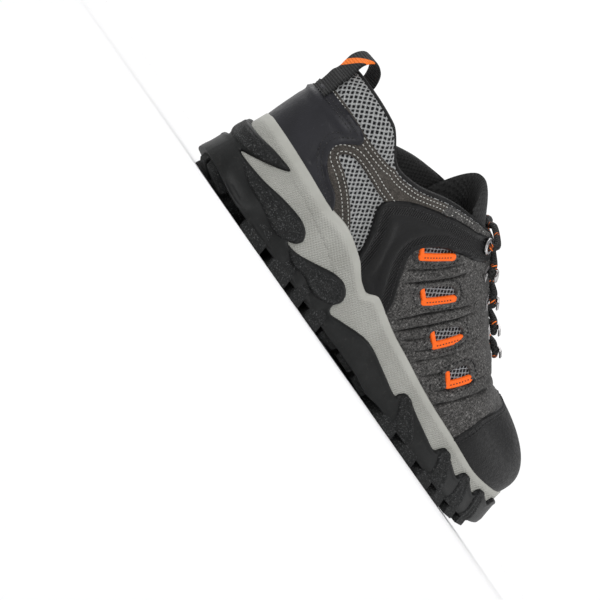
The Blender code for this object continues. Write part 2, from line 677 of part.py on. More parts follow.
def tongue(p, finish):
    """The padded tongue, under the throat and a little above the top eyelets."""
    stations = np.linspace(THROAT_TOP - 0.065, THROAT_END + 0.045, 13)
    across = np.linspace(-1, 1, 11)
    rings = []
    for s in stations:
        half = np.interp(s, (stations[0], THROAT_TOP, stations[-1]), (THROAT_HALF + 5, THROAT_HALF + 7, 19))
        thick = np.interp(s, (stations[0], THROAT_TOP - 0.03, 0.62, stations[-1]), (4.0, 6.0, 4.5, 2.0))
        lift = UPPER_WALL + 3 * GAP
        over = [section(p, s, y * half, lift) for y in across]
        under = [section(p, s, y * half, lift + thick * (1 - 0.55 * y**4)) for y in across]
        rings.append(np.array(over + under[::-1]))
    count = len(rings[0])
    faces = bridge(rings)
    for first in (0, (len(rings) - 1) * count):
        faces += [(first + i, first + i + 1, first + count - i - 2, first + count - i - 1) for i in range(10)]
    return solid("tongue", np.concatenate(rings), faces, finish)


class Seat:
    """A place on the upper beside the throat: down is along the upper away from the throat, out is off it."""

    def __init__(self, p, s, side):
        self.p, self.s, self.side = p, s, side
        y = side * (throat_half(s) + HOOK_OUT)
        self.place = section(p, s, y, 0)
        down = section(p, s, y + 1.5 * side, 0) - section(p, s, y - 1.5 * side, 0)
        self.down = down / np.linalg.norm(down)
        along = np.array([1.0, 0.0, ridge_slope(s)])
        out = np.cross(along, self.down)
        out *= np.sign(out[2]) / np.linalg.norm(out)
        self.out = out
        self.along = np.cross(self.down, out)
        self.along *= np.sign(self.along[0]) / np.linalg.norm(self.along)

    def at(self, along, down, out):
        return self.place + self.along * along + self.down * down + self.out * out


def hook(name, seat, finish):
    """An open lace hook: a flat foot, a narrow neck, and a lip that curls out over the lace."""
    top = LACE_RISE + LACE_RADIUS + LACE_CLEAR
    foot = HOOK_FOOT
    line = [(8.0, foot - 0.9), (8.0, foot), (2.2, foot), (1.0, foot + 0.6), (0.9, top - 1.0), (2.0, top), (5.2, top), (6.4, top - 0.6),
            (7.1, top), (5.8, top + 1.1), (1.6, top + 1.1), (-0.3, top - 0.3), (-0.4, foot + 0.1), (-1.6, foot - 0.9)]
    half = [3.2, 3.2, 2.6, NECK, NECK, 2.0, 2.4, 2.4, 2.4, 2.4, 2.0, NECK, NECK + 0.2, 2.6]
    points = [seat.at(side * w, down, out) for side in (-1, 1) for (down, out), w in zip(line, half)]
    n = len(line)
    strip = [(0, 1, 2, 13), (2, 3, 12, 13), (3, 4, 11, 12), (4, 5, 10, 11), (5, 6, 9, 10), (6, 7, 8, 9)]
    faces = strip + [tuple(n + i for i in f)[::-1] for f in strip]
    faces += [(i, n + i, n + (i + 1) % n, (i + 1) % n) for i in range(n)]
    return solid(name, points, faces, finish)


def eyelet(name, seat, finish):
    """A rolled ring at the top of a saddle, where an end of the lace goes in."""
    turn = np.arange(14) / 14 * tau
    loops = []
    for r, out in ((4.8, 2.7), (4.8, 3.3), (4.0, 3.9), (3.1, 3.7), (2.7, 3.1), (2.7, 2.7)):
        loops.append(np.array([seat.at(r * cos(t), EYELET_DOWN + r * sin(t), out) for t in turn]))
    loops.append(loops[0])
    return solid(name, np.concatenate(loops), bridge(loops), finish)


def tube(name, line, radius, sides=8):
    """A round solid along a line of points."""
    line = np.array(line)
    way = np.gradient(line, axis=0)
    way /= np.linalg.norm(way, axis=1)[:, None]
    side = np.cross(way[0], [0, 0, 1])
    rings = []
    for q, w in zip(line, way):
        side = side - w * (side @ w)
        side /= np.linalg.norm(side)
        up = np.cross(w, side)
        rings.append([q + radius * (side * cos(t) + up * sin(t)) for t in np.arange(sides) / sides * tau])
    faces = bridge(rings)
    last = (len(rings) - 1) * sides
    faces += [tuple(range(sides))[::-1], tuple(last + i for i in range(sides))]
    return solid(name, np.concatenate(rings), faces)


def lace_depth(s, y):
    """How far under the upper's closed form the lace's middle lies: on the tongue, and over its edges."""
    on_edge = -(GAP + OVERLAY * (s < HOOKS_FROM - 0.02) + LACE_RADIUS + LACE_CLEAR)
    on_tongue = UPPER_WALL + 3 * GAP - LACE_RADIUS - LACE_CLEAR
    t = np.clip((throat_half(s) - LACE_RADIUS - 1 - abs(y)) / 7, 0, 1)
    return on_edge + (min(on_tongue, -on_edge) - on_edge) * t * t * (3 - 2 * t)


def crossing(p, start, end, steps=(0.17, 0.33, 0.5, 0.67, 0.83)):
    """Points from one (s, y) place to another, over the throat."""
    line = []
    for t in steps:
        s, y = (start[i] + (end[i] - start[i]) * t for i in (0, 1))
        line.append(section(p, s, y, lace_depth(s, y)))
    return line


def lace(p, hooks, finish):
    """The lace's crossings, joined where they cross: two strands that swap sides from pair to pair."""
    beside = NECK + LACE_RADIUS + LACE_CLEAR
    past = NECK + LACE_RADIUS + LACE_CLEAR + 0.6
    strands = []
    for side in (-1, 1):
        top = Seat(p, THROAT_TOP + 0.002, side)
        line = [top.at(0, EYELET_DOWN, 3.4), top.at(0.3, EYELET_DOWN - 0.3, 5.4), top.at(1.2, -1.5, 6.6)]
        before, y = top.s + 0.006, side * (throat_half(top.s) - 1)
        for k in range(HOOK_PAIRS):
            turn = side * (-1) ** (k + 1)
            seat = hooks[k, turn]
            near = turn * (throat_half(seat.s) - 1)
            step = beside / LAST_LENGTH
            line += crossing(p, (before, y), (seat.s - step, near))
            line += [seat.at(-beside, -1.2, LACE_RISE), seat.at(-0.75 * beside, 0.66 * past, LACE_RISE)]
            line += [seat.at(0, past, LACE_RISE)]
            line += [seat.at(0.75 * beside, 0.66 * past, LACE_RISE), seat.at(beside, -1.2, LACE_RISE)]
            before, y = seat.s + step, near
        line += crossing(p, (before, y), (before + 0.004, 0), (0.33, 0.67, 1.0))
        strands.append(tube("strand", line, LACE_RADIUS, 6))
    joined, other = strands
    boolean(joined, "UNION", other)
    joined.name = "lace"
    joined.data.materials.clear()
    joined.data.materials.append(finish)
    return joined


def pull_loop(p, finish):
    """A loop of webbing over the back of the collar, to pull the shoe on by."""
    back = -(GAP + OVERLAY) - 1.6
    line = round_through([
        (back, COLLAR_BACK - 13), (back, COLLAR_BACK - 3), (back + 0.6, COLLAR_BACK + 4),
        (back + 5.0, COLLAR_BACK + LOOP_RISE), (back + 12.0, COLLAR_BACK + LOOP_RISE - 1),
        (back + 16.5, COLLAR_BACK + 3), (back + 17.5, COLLAR_BACK - 5),
    ], per_span=3, closed=False)
    way = np.gradient(line, axis=0)
    way /= np.linalg.norm(way, axis=1)[:, None]
    off = np.c_[-way[:, 1], way[:, 0]] * WEBBING / 2
    band = np.vstack([line + off, (line - off)[::-1]])
    n, m = len(band), len(line)
    points = [(x, side * LOOP_WIDTH / 2, z) for side in (-1, 1) for x, z in band]
    sheet = [(i, i + 1, n - i - 2, n - i - 1) for i in range(m - 1)]
    faces = sheet + [tuple(n + i for i in f)[::-1] for f in sheet]
    faces += [(i, n + i, n + (i + 1) % n, (i + 1) % n) for i in range(n)]
    return solid("pull_loop", points, faces, finish)


def set_down():
    """Moves every piece so that the bounding box stands on the floor, with its middle over the origin."""
    pieces = [obj.data for obj in bpy.data.objects if obj.type == "MESH"]
    corners = np.array([tuple(vertex.co) for mesh in pieces for vertex in mesh.vertices])
    low, high = corners.min(axis=0), corners.max(axis=0)
    shift = Matrix.Translation((-(low[0] + high[0]) / 2, -(low[1] + high[1]) / 2, -low[2]))
    for mesh in pieces:
        mesh.transform(shift)


def build():
    clear_scene()
    rubber = material("rubber", (0.020, 0.020, 0.020), 0.6)
    foam = material("foam", (0.42, 0.42, 0.38), 0.7)
    suede = material("suede", (0.095, 0.092, 0.085), 0.9)
    fabric = material("fabric", (0.25, 0.26, 0.27), 0.9)
    leather = material("leather", (0.03, 0.03, 0.032), 0.5)
    metal = material("metal", (0.72, 0.73, 0.74), 0.3, 1.0)
    cord = material("cord", (0.02, 0.02, 0.02), 0.8)
    p = Planes()
    outsole(p, rubber)
    midsole(p, foam)
    upper(p, suede)
    insole(p, fabric)
    tongue(p, fabric)
    toe_cap(p, leather)
    heel_counter(p, leather)
    saddle("outer_saddle", p, -1, leather)
    saddle("inner_saddle", p, 1, leather)
    hooks = {}
    for k, s in enumerate(np.linspace(HOOKS_FROM, HOOKS_TO, HOOK_PAIRS)):
        for side, word in ((-1, "outer"), (1, "inner")):
            hooks[k, side] = Seat(p, s, side)
            hook(f"{word}_hook_{k + 1}", hooks[k, side], metal)
    for side, word in ((-1, "outer"), (1, "inner")):
        eyelet(f"{word}_eyelet", Seat(p, THROAT_TOP + 0.002, side), metal)
    lace(p, hooks, cord)
    pull_loop(p, fabric)
    set_down()


build()
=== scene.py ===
"""The look of a right-foot low hiking shoe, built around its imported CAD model.

Sizes are in millimetres until mesh() turns them into metres. As in the CAD source, x is measured from the
back of the upper, s is x as a share of the upper's length, and the forms are read in upright planes that
fan out round the heel, stand square to the shoe along its sides, and fan out again round the toe.
"""

import json
from functools import partialmethod
from math import cos, pi, radians, sin, tau

import bmesh
import bpy
import numpy as np
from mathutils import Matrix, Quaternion, Vector

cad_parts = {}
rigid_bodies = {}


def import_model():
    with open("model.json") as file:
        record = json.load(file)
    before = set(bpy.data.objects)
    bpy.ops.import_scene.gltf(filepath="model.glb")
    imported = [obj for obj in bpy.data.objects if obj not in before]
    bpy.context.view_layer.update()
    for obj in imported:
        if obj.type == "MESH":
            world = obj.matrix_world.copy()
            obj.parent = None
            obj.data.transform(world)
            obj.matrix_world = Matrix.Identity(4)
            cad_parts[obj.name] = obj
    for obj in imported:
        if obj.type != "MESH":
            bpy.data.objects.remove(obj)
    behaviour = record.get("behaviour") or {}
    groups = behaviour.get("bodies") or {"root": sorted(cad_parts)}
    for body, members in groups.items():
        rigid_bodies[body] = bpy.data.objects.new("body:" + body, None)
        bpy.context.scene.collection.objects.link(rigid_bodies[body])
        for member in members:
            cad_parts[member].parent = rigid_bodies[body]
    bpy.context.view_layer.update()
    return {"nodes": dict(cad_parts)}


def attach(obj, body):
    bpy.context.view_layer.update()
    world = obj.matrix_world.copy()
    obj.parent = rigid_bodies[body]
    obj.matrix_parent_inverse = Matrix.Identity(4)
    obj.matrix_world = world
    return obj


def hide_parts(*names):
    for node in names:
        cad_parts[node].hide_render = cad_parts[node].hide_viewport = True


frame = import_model()

# ---- Sizes shared with the CAD source ------------------------------------------------------------------
LAST_LENGTH, BALL_WIDTH, WAIST_WIDTH, HEEL_WIDTH = 287.0, 99.0, 76.0, 67.0
TOE_BOX_HEIGHT, INSTEP_HEIGHT, COLLAR_BACK, COLLAR_DIP = 64.0, 93.0, 95.0, 83.0
GAP = 0.3
UPPER_WALL, COLLAR_PAD, PAD_DROP = 2.2, 4.6, 26.0
THROAT_TOP, THROAT_END, THROAT_HALF = 0.43, 0.705, 21.0
ROUND, OVERLAY = 2.15, 1.5
HEEL_STACK, BALL_STACK, TOE_SPRING, HEEL_BEVEL = 29.0, 17.0, 13.0, 5.0
LUG_DEPTH, PLATE, WRAP, RIM, FLARE, BUTTRESS = 5.0, 3.0, 2.4, 2.0, 4.2, 7.5
LACE_RADIUS, LACE_CLEAR, NECK, HOOK_FOOT, HOOK_OUT = 1.9, 0.6, 1.2, 1.7, 4.0
HOOKS_FROM, HOOKS_TO, HOOK_PAIRS, EYELET_DOWN = 0.488, 0.675, 4, 2.0
LOOP_WIDTH, LOOP_RISE, WEBBING = 15.0, 10.0, 1.6
LACE_RISE = HOOK_FOOT + LACE_RADIUS + LACE_CLEAR
HEEL_CENTRE, TOE_CENTRE, CENTRE_SHIFT = 0.14, 0.77, 4.0
MIDDLE = np.array([143.3648, -0.5572, 0.0])      # what the CAD source takes off to reach the origin


def smooth(*pairs):
    """A curve through a few (place, value) pairs that never swings past them, and is level beyond them."""
    xs, ys = np.array(pairs, float).T
    rise = np.diff(ys) / np.diff(xs)
    slope = np.zeros(len(xs))
    same = rise[1:] * rise[:-1] > 0
    slope[1:-1][same] = 2 * (rise[1:] * rise[:-1])[same] / (rise[1:] + rise[:-1])[same]

    def value(x):
        x = np.clip(np.asarray(x, float), xs[0], xs[-1])
        i = np.clip(np.searchsorted(xs, x) - 1, 0, len(xs) - 2)
        h = xs[i + 1] - xs[i]
        t = (x - xs[i]) / h
        return (
            ys[i] * (1 + 2 * t) * (1 - t) ** 2
            + ys[i + 1] * t**2 * (3 - 2 * t)
            + h * slope[i] * t * (1 - t) ** 2
            + h * slope[i + 1] * t**2 * (t - 1)
        )

    return value


def bell(x, width):
    """A bell curve of x: 1 in its middle, and nearly 0 from twice its width on."""
    return np.exp(-((x / width) ** 2))


def climb(x, start, run):
    """0 up to start, then a straight climb to 1 over the run."""
    return np.clip((x - start) / run, 0, 1)


def fall(x, end, run):
    """1, then a straight fall over the run to 0 at the end."""
    return np.clip((end - x) / run, 0, 1)


def unit(vectors):
    """Vectors scaled to length 1."""
    return vectors / np.maximum(np.linalg.norm(vectors, axis=-1, keepdims=True), 1e-9)


def travelled(line):
    """How far along a line each of its points is."""
    return np.r_[0, np.cumsum(np.linalg.norm(np.diff(line, axis=0), axis=1))]


def round_through(points, per_span=8, closed=True):
    """A smooth line through points (a Catmull-Rom spline), per_span points to each span."""
    p = np.array(points, float)
    if not closed:
        p = np.vstack([2 * p[0] - p[1], p, 2 * p[-1] - p[-2]])
    n = len(p)
    line = []
    for i in range(n if closed else n - 3):
        a, b, c, d = (p[(i + k - closed) % n] for k in range(4))
        for t in np.arange(per_span) / per_span:
            bend = (2 * a - 5 * b + 4 * c - d) * t**2 + (3 * b - a - 3 * c + d) * t**3
            line.append(0.5 * (2 * b + (c - a) * t + bend))
    if not closed:
        line.append(p[-2])
    return np.array(line)


# ---- The form, as in the CAD source -------------------------------------------------------------------
def last_outline():
    """The upper's outline from above at its widest level, from the back round by the outer side."""
    length, ball, waist, heel = LAST_LENGTH, BALL_WIDTH / 2, WAIST_WIDTH / 2, HEEL_WIDTH / 2
    shares = [
        (0.000, 0), (0.030, -0.58 * heel), (0.085, -0.90 * heel), (0.170, -1.00 * heel),
        (0.290, -1.03 * heel), (0.420, -1.02 * waist), (0.550, -0.87 * ball), (0.670, -1.00 * ball),
        (0.770, -0.99 * ball), (0.870, -0.84 * ball), (0.945, -0.57 * ball), (0.988, -0.20 * ball),
        (1.000, 0.14 * ball), (0.985, 0.46 * ball), (0.935, 0.73 * ball), (0.855, 0.91 * ball),
        (0.760, 0.99 * ball), (0.670, 0.97 * ball), (0.570, 0.82 * ball), (0.470, 0.90 * waist),
        (0.380, 0.84 * waist), (0.280, 0.93 * heel), (0.170, 1.00 * heel), (0.085, 0.90 * heel),
        (0.030, 0.58 * heel),
    ]
    return round_through([(s * length, y) for s, y in shares])


tread = smooth(
    (-0.030, HEEL_BEVEL), (0.050, 0), (0.300, 0), (0.385, 2.2), (0.440, 2.2), (0.510, 0),
    (0.775, 0), (0.870, 0.20 * TOE_SPRING), (0.950, 0.60 * TOE_SPRING), (1.030, TOE_SPRING),
)
lug_depth = smooth(
    (0.300, LUG_DEPTH), (0.370, 0.56 * LUG_DEPTH), (0.480, 0.56 * LUG_DEPTH), (0.540, LUG_DEPTH),
)
bed = smooth(
    (0.000, HEEL_STACK), (0.250, HEEL_STACK), (0.480, 0.3 * HEEL_STACK + 0.7 * BALL_STACK),
    (0.640, BALL_STACK), (0.780, BALL_STACK), (0.900, BALL_STACK + 0.35 * TOE_SPRING),
    (1.000, BALL_STACK + 0.80 * TOE_SPRING),
)
edge_rise = smooth((0.000, 17.0), (0.200, 14.5), (0.355, 13.0), (0.600, 12.5), (0.850, 10.0), (1.000, 9.0))
widest = smooth((0.000, 24.0), (0.300, 25.0), (0.650, 19.0), (1.000, 14.0))
ridge = smooth(
    (0.140, INSTEP_HEIGHT + 57), (0.250, INSTEP_HEIGHT + 51), (0.350, INSTEP_HEIGHT + 38),
    (0.430, INSTEP_HEIGHT + 23), (0.550, INSTEP_HEIGHT),
    (0.650, 0.45 * INSTEP_HEIGHT + 0.55 * TOE_BOX_HEIGHT), (0.770, TOE_BOX_HEIGHT),
)
collar = smooth(
    (0.000, COLLAR_BACK), (0.080, COLLAR_BACK - 1.5), (0.165, COLLAR_DIP), (0.215, COLLAR_DIP + 3),
    (0.300, COLLAR_DIP + 14.5), (0.370, COLLAR_DIP + 21), (0.430, COLLAR_DIP + 25), (0.500, COLLAR_DIP + 57),
)


def base(s):
    """The outsole's underside between its lugs."""
    return tread(s) + lug_depth(s)


def edge(s):
    """The midsole's top edge, where the upper comes out of it."""
    return bed(s) + edge_rise(s)


class Planes:
    """The upright planes: foot is each one's foot, way its direction out, reach the last's outline."""

    def __init__(self, heel=6, side=21, toe=8):
        turn_heel = np.arange(heel) / heel * pi / 2
        turn_toe = np.arange(1, toe + 1) / toe * pi / 2
        along = np.linspace(HEEL_CENTRE, TOE_CENTRE, side + 1) if np.isscalar(side) else side
        s = np.r_[np.full(heel, HEEL_CENTRE), along, np.full(toe, TOE_CENTRE)]
        way = np.r_[
            np.c_[-np.cos(turn_heel), -np.sin(turn_heel)],
            np.tile([0.0, -1.0], (len(along), 1)),
            np.c_[np.sin(turn_toe), -np.cos(turn_toe)],
        ]
        back = slice(len(s) - 2, 0, -1)
        self.s = np.r_[s, s[back]]
        self.way = np.vstack([way, way[back] * [1, -1]])
        self.foot = np.c_[self.s * LAST_LENGTH, centre(self.s)]
        self.half = len(s) - 1
        self.count = 2 * self.half
        self.reach = self.to_outline(last_outline())
        self.tip = self.foot + self.way * self.reach[:, None]
        self.at = self.tip[:, 0] / LAST_LENGTH
        self.inner = self.way[:, 1] > 0

    def to_outline(self, outline):
        """How far each plane runs from its foot to a closed outline."""
        a, b = outline, np.roll(outline, -1, axis=0)
        found = np.zeros(self.count)
        for i, (foot, way) in enumerate(zip(self.foot, self.way)):
            side_a = (a - foot) @ [-way[1], way[0]]
            side_b = (b - foot) @ [-way[1], way[0]]
            crossed = side_a * side_b <= 0
            t = side_a[crossed] / (side_a[crossed] - side_b[crossed] + 1e-12)
            hit = a[crossed] + (b[crossed] - a[crossed]) * t[:, None]
            found[i] = ((hit - foot) @ way).max()
        return found

    def points(self, reach, height):
        """One ring of points, at these reaches and heights."""
        place = self.foot + self.way * np.broadcast_to(reach, self.count)[:, None]
        return np.c_[place, np.broadcast_to(height, self.count)]


def centre(s):
    """The planes' feet wander to the inner side towards the toe."""
    return CENTRE_SHIFT * np.clip((s - HEEL_CENTRE) / (TOE_CENTRE - HEEL_CENTRE), 0, 1) ** 2


def upper_reach(p, z):
    """The upper's outer reach at height z in each plane, up to its ridge."""
    wide = bed(p.at) + widest(p.at)
    top = ridge(p.s)
    below = np.clip((wide - z) / (wide - bed(p.at)), 0, 1)
    above = np.clip((z - wide) / (top - wide), 0, 1)
    return p.reach * (1 - 0.045 * below**2) * np.clip(1 - above**ROUND, 0, 1) ** (1 / ROUND)


def upper_height(p, share):
    """The height where the upper's reach has shrunk to that share, which is the inverse of upper_reach."""
    wide = bed(p.at) + widest(p.at)
    above = np.clip(1 - np.clip(share, 0, 1) ** ROUND, 0, 1) ** (1 / ROUND)
    return wide + (ridge(p.s) - wide) * above


def throat_half(s):
    """Half the throat's width, which narrows from the top eyelets to a round front end."""
    run = np.clip((s - THROAT_TOP) / (THROAT_END - THROAT_TOP), 0, 1)
    return THROAT_HALF * (1 - 0.30 * run) * np.sqrt(1 - run**9)


def is_open(p):
    """Whether a plane meets the collar or the throat before it reaches the ridge."""
    return p.s < THROAT_END - 1e-6


def upper_top(p):
    """Where the upper's outer face ends in each plane: at the collar, at the throat, or at the ridge."""
    throat = upper_height(p, throat_half(p.s) / p.reach)
    return np.where(is_open(p), np.minimum(collar(p.at), throat), ridge(p.s))


def ridge_slope(s):
    """The ridge's slope, as a rise over a run."""
    step = 0.01
    return (ridge(s + step) - ridge(s - step)) / (2 * step * LAST_LENGTH)


def side_reach(p, z):
    """The midsole's outer face: it flares towards its foot."""
    low, high = base(p.at) + PLATE, edge(p.at)
    up = np.clip((z - low) / (high - low), 0, 1)
    inner_waist = np.where(p.inner, 1.5 * bell(p.at - 0.42, 0.12), 0)
    top = upper_reach(p, high) + RIM
    return top + (FLARE - inner_waist) * (1 - up) ** 1.3


def outsole_reach(p, z):
    """The rubber's outer face."""
    return side_reach(p, z) + GAP + WRAP


class Footprint:
    """Places on the tread, as (x, share of the half width): -1 is the outer edge and 1 the inner one."""

    def __init__(self, ring):
        half = len(ring) // 2
        self.outer, self.inner = ring[: half + 1], np.vstack([ring[half:], ring[:1]])[::-1]

    def at(self, x, share):
        side = self.inner if share > 0 else self.outer
        x = np.clip(x, side[0, 0] + 0.6, side[-1, 0] - 0.6)
        middle = centre(x / LAST_LENGTH)
        y = np.interp(x, side[:, 0], side[:, 1])
        return np.array([x, middle + abs(share) * (y - middle)])


def section(p, s, y, depth):
    """A point across the upper's closed form at station s, y from the middle, sunk by depth below it."""
    side = (p.foot[:, 0] >= HEEL_CENTRE * LAST_LENGTH) & (np.abs(p.way[:, 1]) > 0.999)
    pick = side & (p.inner == (y > 0))
    order = np.argsort(p.s[pick])
    reach = np.interp(s, p.s[pick][order], p.reach[pick][order])
    wide = bed(s) + widest(s)

    def height(at):
        return wide + (ridge(s) - wide) * (1 - min(abs(at) / reach, 0.98) ** ROUND) ** (1 / ROUND)

    slope = (height(y + 0.5) - height(y - 0.5))
    sunk = depth * np.sqrt(1 + ridge_slope(s) ** 2)
    size = np.sqrt(1 + slope**2)
    return np.array([s * LAST_LENGTH, y + centre(s) + sunk * slope / size, height(y) - sunk / size])


class Seat:
    """A place on the upper beside the throat: down is along the upper away from the throat, out is off it."""

    def __init__(self, p, s, side):
        self.p, self.s, self.side = p, s, side
        y = side * (throat_half(s) + HOOK_OUT)
        self.place = section(p, s, y, 0)
        down = section(p, s, y + 1.5 * side, 0) - section(p, s, y - 1.5 * side, 0)
        self.down = unit(down)
        along = np.array([1.0, 0.0, ridge_slope(s)])
        out = np.cross(along, self.down)
        out *= np.sign(out[2]) / np.linalg.norm(out)
        self.out = out
        self.along = np.cross(self.down, out)
        self.along *= np.sign(self.along[0]) / np.linalg.norm(self.along)

    def at(self, along, down, out):
        return self.place + self.along * along + self.down * down + self.out * out


def lace_depth(s, y):
    """How far under the upper's closed form the lace's middle lies: on the tongue, and over its edges."""
    on_edge = -(GAP + OVERLAY * (s < HOOKS_FROM - 0.02) + LACE_RADIUS + LACE_CLEAR)
    on_tongue = UPPER_WALL + 3 * GAP - LACE_RADIUS - LACE_CLEAR
    t = np.clip((throat_half(s) - LACE_RADIUS - 1 - abs(y)) / 7, 0, 1)
    return on_edge + (min(on_tongue, -on_edge) - on_edge) * t * t * (3 - 2 * t)


def lugs(ring, wall_ring):
    """Every lug, as a list of blocks, each its points and faces, that are sunk into the plate."""
    print_, wall = Footprint(ring), Footprint(wall_ring)
    blocks = []

    def add(low, high, low_z, high_z):
        """A block between a low outline on the ground and a high one, each with its heights."""
        n = len(low)
        points = [(*q, z) for q, z in zip(low, np.broadcast_to(low_z, n))]
        points += [(*q, z) for q, z in zip(high, np.broadcast_to(high_z, n))]
        faces = [tuple(range(n)), tuple(range(2 * n - 1, n - 1, -1))]
        faces += [(i, (i + 1) % n, n + (i + 1) % n, n + i) for i in range(n)]
        blocks.append((points, faces))

    def ground(outline):
        return np.array([tread(x / LAST_LENGTH) for x, _ in outline])

    def sunk(outline):
        return np.array([base(x / LAST_LENGTH) + 1.2 for x, _ in outline])

    def block(outline):
        """A block inside the tread: its outline lists (x, share) places."""
        low = np.array([print_.at(*q) for q in outline])
        middle = low.mean(axis=0)
        high = middle + (low - middle) * (1 + 1.2 / np.linalg.norm(low - middle, axis=1).mean())
        add(low, high, ground(low), sunk(high))

    def edge_block(sign, tip_a, tip_b, root_a, root_b, share, out=1.05):
        """A block on the edge: its tips stand past it and buttress the wrap, and its roots are at share."""
        points = []
        inset = 0.18 * (tip_b - tip_a)
        for tip, root, high in ((tip_a, root_a, tip_a + inset), (tip_b, root_b, tip_b - inset)):
            into = np.array([0, -sign * WRAP / 2])
            outline = [print_.at(root, share), print_.at(tip, sign * out)]
            outline += [wall.at(high, sign) + into, print_.at(tip, sign) + into, outline[0]]
            z = [*ground(outline[:2]), base(high / LAST_LENGTH) + BUTTRESS, *sunk(outline[3:])]
            points += [(*q, h) for q, h in zip(outline, z)]
        faces = [(0, 1, 3), (1, 2, 3), (0, 3, 4), (5, 8, 6), (6, 8, 7), (5, 9, 8)]
        faces += [(i, 5 + i, 5 + (i + 1) % 5, (i + 1) % 5) for i in range(5)]
        blocks.append((points, faces))

    def ring_lug(x, share, radius, wall):
        """A round lug with a blind hole."""
        middle = print_.at(x, share)
        turn = np.arange(10) / 10 * tau
        circle = np.c_[np.cos(turn), np.sin(turn)]
        points, faces = [], []
        loops = ((radius + 0.6, sunk), (radius, ground), (radius - wall, ground), (radius - wall, None))
        for r, level in loops:
            loop = middle + circle * r
            z = level(loop) if level else base(x / LAST_LENGTH) - 0.9 + 0 * turn
            points.extend([(*q, h) for q, h in zip(loop, z)])
        for k in range(3):
            a, b = 10 * k, 10 * (k + 1)
            faces.extend([(a + i, a + (i + 1) % 10, b + (i + 1) % 10, b + i) for i in range(10)])
        faces += [tuple(range(10)), tuple(range(39, 29, -1))]
        blocks.append((points, faces))

    # Heel, inner side: broad bars that run in from the edge. Outer side: scooped buttresses.
    for tip_a, tip_b, root_a, root_b, share in (
        (16, 32, 20, 27, 0.12), (36, 51, 36, 46, 0.28), (55, 70, 54, 67, -0.22), (75, 87, 72, 81, 0.34),
    ):
        edge_block(1, tip_a, tip_b, root_a, root_b, share)
    for tip_a, tip_b, root_a, root_b, share in (
        (15, 33, 22, 38, -0.72), (40, 58, 45, 60, -0.72), (63, 73, 65, 75, -0.74), (79, 92, 82, 93, -0.74),
    ):
        edge_block(-1, tip_a, tip_b, root_a, root_b, share)
    block([(-3, -0.55), (6, -0.62), (9, -0.12), (-4, -0.10)])
    block([(-4, 0.10), (9, 0.12), (6, 0.62), (-3, 0.55)])
    block([(12, -0.60), (30, -0.58), (27, -0.20), (12, -0.10)])
    ring_lug(42, -0.28, 8.5, 3.2)
    # Waist: small blocks along the inner edge, square ones along the outer edge, two small rings.
    for x in (97, 117, 138):
        block([(x, 0.62), (x + 14, 0.58), (x + 13, 0.88), (x + 1, 0.90)])
    for x in (98, 115, 132):
        block([(x, -0.90), (x + 13, -0.90), (x + 12, -0.66), (x + 3, -0.66)])
    ring_lug(86, -0.42, 5.4, 2.0)
    ring_lug(101, -0.38, 4.8, 1.8)
    # Forefoot, inner side: long wedges. Outer side: chevrons that wrap over the edge. Rings between.
    for tip_a, tip_b, root_a, root_b, share in (
        (162, 178, 168, 174, -0.14), (183, 200, 186, 192, 0.30), (205, 221, 203, 210, -0.06),
        (226, 240, 222, 228, 0.30), (245, 257, 238, 245, 0.10),
    ):
        edge_block(1, tip_a, tip_b, root_a, root_b, share)
    for tip_a, tip_b in ((158, 172), (179, 193), (200, 212), (218, 229), (235, 245), (251, 260)):
        edge_block(-1, tip_a, tip_b, tip_a - 7, tip_b - 5, -0.72)
    for x, share, radius in (
        (188, -0.36, 8.0), (209, -0.38, 9.0), (231, -0.34, 9.0), (251, -0.30, 7.5), (194, 0.02, 6.0),
        (218, 0.20, 5.0),
    ):
        ring_lug(x, share, radius, 0.38 * radius)
    # Toe: three blocks that climb the spring.
    for low_share, high_share in ((-0.72, -0.28), (-0.16, 0.22), (0.34, 0.76)):
        block([(266, low_share), (277, low_share), (277, high_share), (266, high_share)])
    return blocks


# ---- Dense forms ---------------------------------------------------------------------------------------
class Round:
    """Dense upright planes, read at a mm round the last's outline, from the back by the outer side."""

    def __init__(self):
        along = np.linspace(HEEL_CENTRE, TOE_CENTRE, 150)
        near_end = THROAT_END - 0.02 * np.linspace(1, 0, 14) ** 2.5
        p = self.p = Planes(44, np.union1d(along, near_end), 66)
        step = np.linalg.norm(np.roll(p.tip, -1, axis=0) - p.tip, axis=1)
        self.a = np.r_[0, np.cumsum(step)]
        self.total, self.toe = self.a[-1], self.a[p.half]
        wide = bed(p.at) + widest(p.at)
        share = np.clip((upper_top(p) - wide) / (ridge(p.s) - wide), 0, 1)
        top = np.arcsin(share ** (ROUND / 2)) / (pi / 2)
        columns = np.c_[p.s, p.at, p.reach, p.foot, p.way, np.where(is_open(p), top, 1.0)]
        self.columns = np.vstack([columns, columns[:1]]).T

    def read(self, a):
        """s, at, reach, foot x and y, way x and y, and the edge's v, at a."""
        a = np.mod(np.asarray(a, float), self.total)
        return [np.interp(a, self.a, column) for column in self.columns]

    def at_x(self, x, side):
        """The place round the outline where it passes x, on the outer (-1) or inner (1) side."""
        half = self.p.half
        if side < 0:
            return np.interp(x, self.columns[1][: half + 1] * LAST_LENGTH, self.a[: half + 1])
        return np.interp(x, self.columns[1][half:][::-1] * LAST_LENGTH, self.a[half:][::-1])


ROUNDING = Round()
THROAT_PLANES = Planes(6, np.linspace(HEEL_CENTRE, TOE_CENTRE, 60), 8)


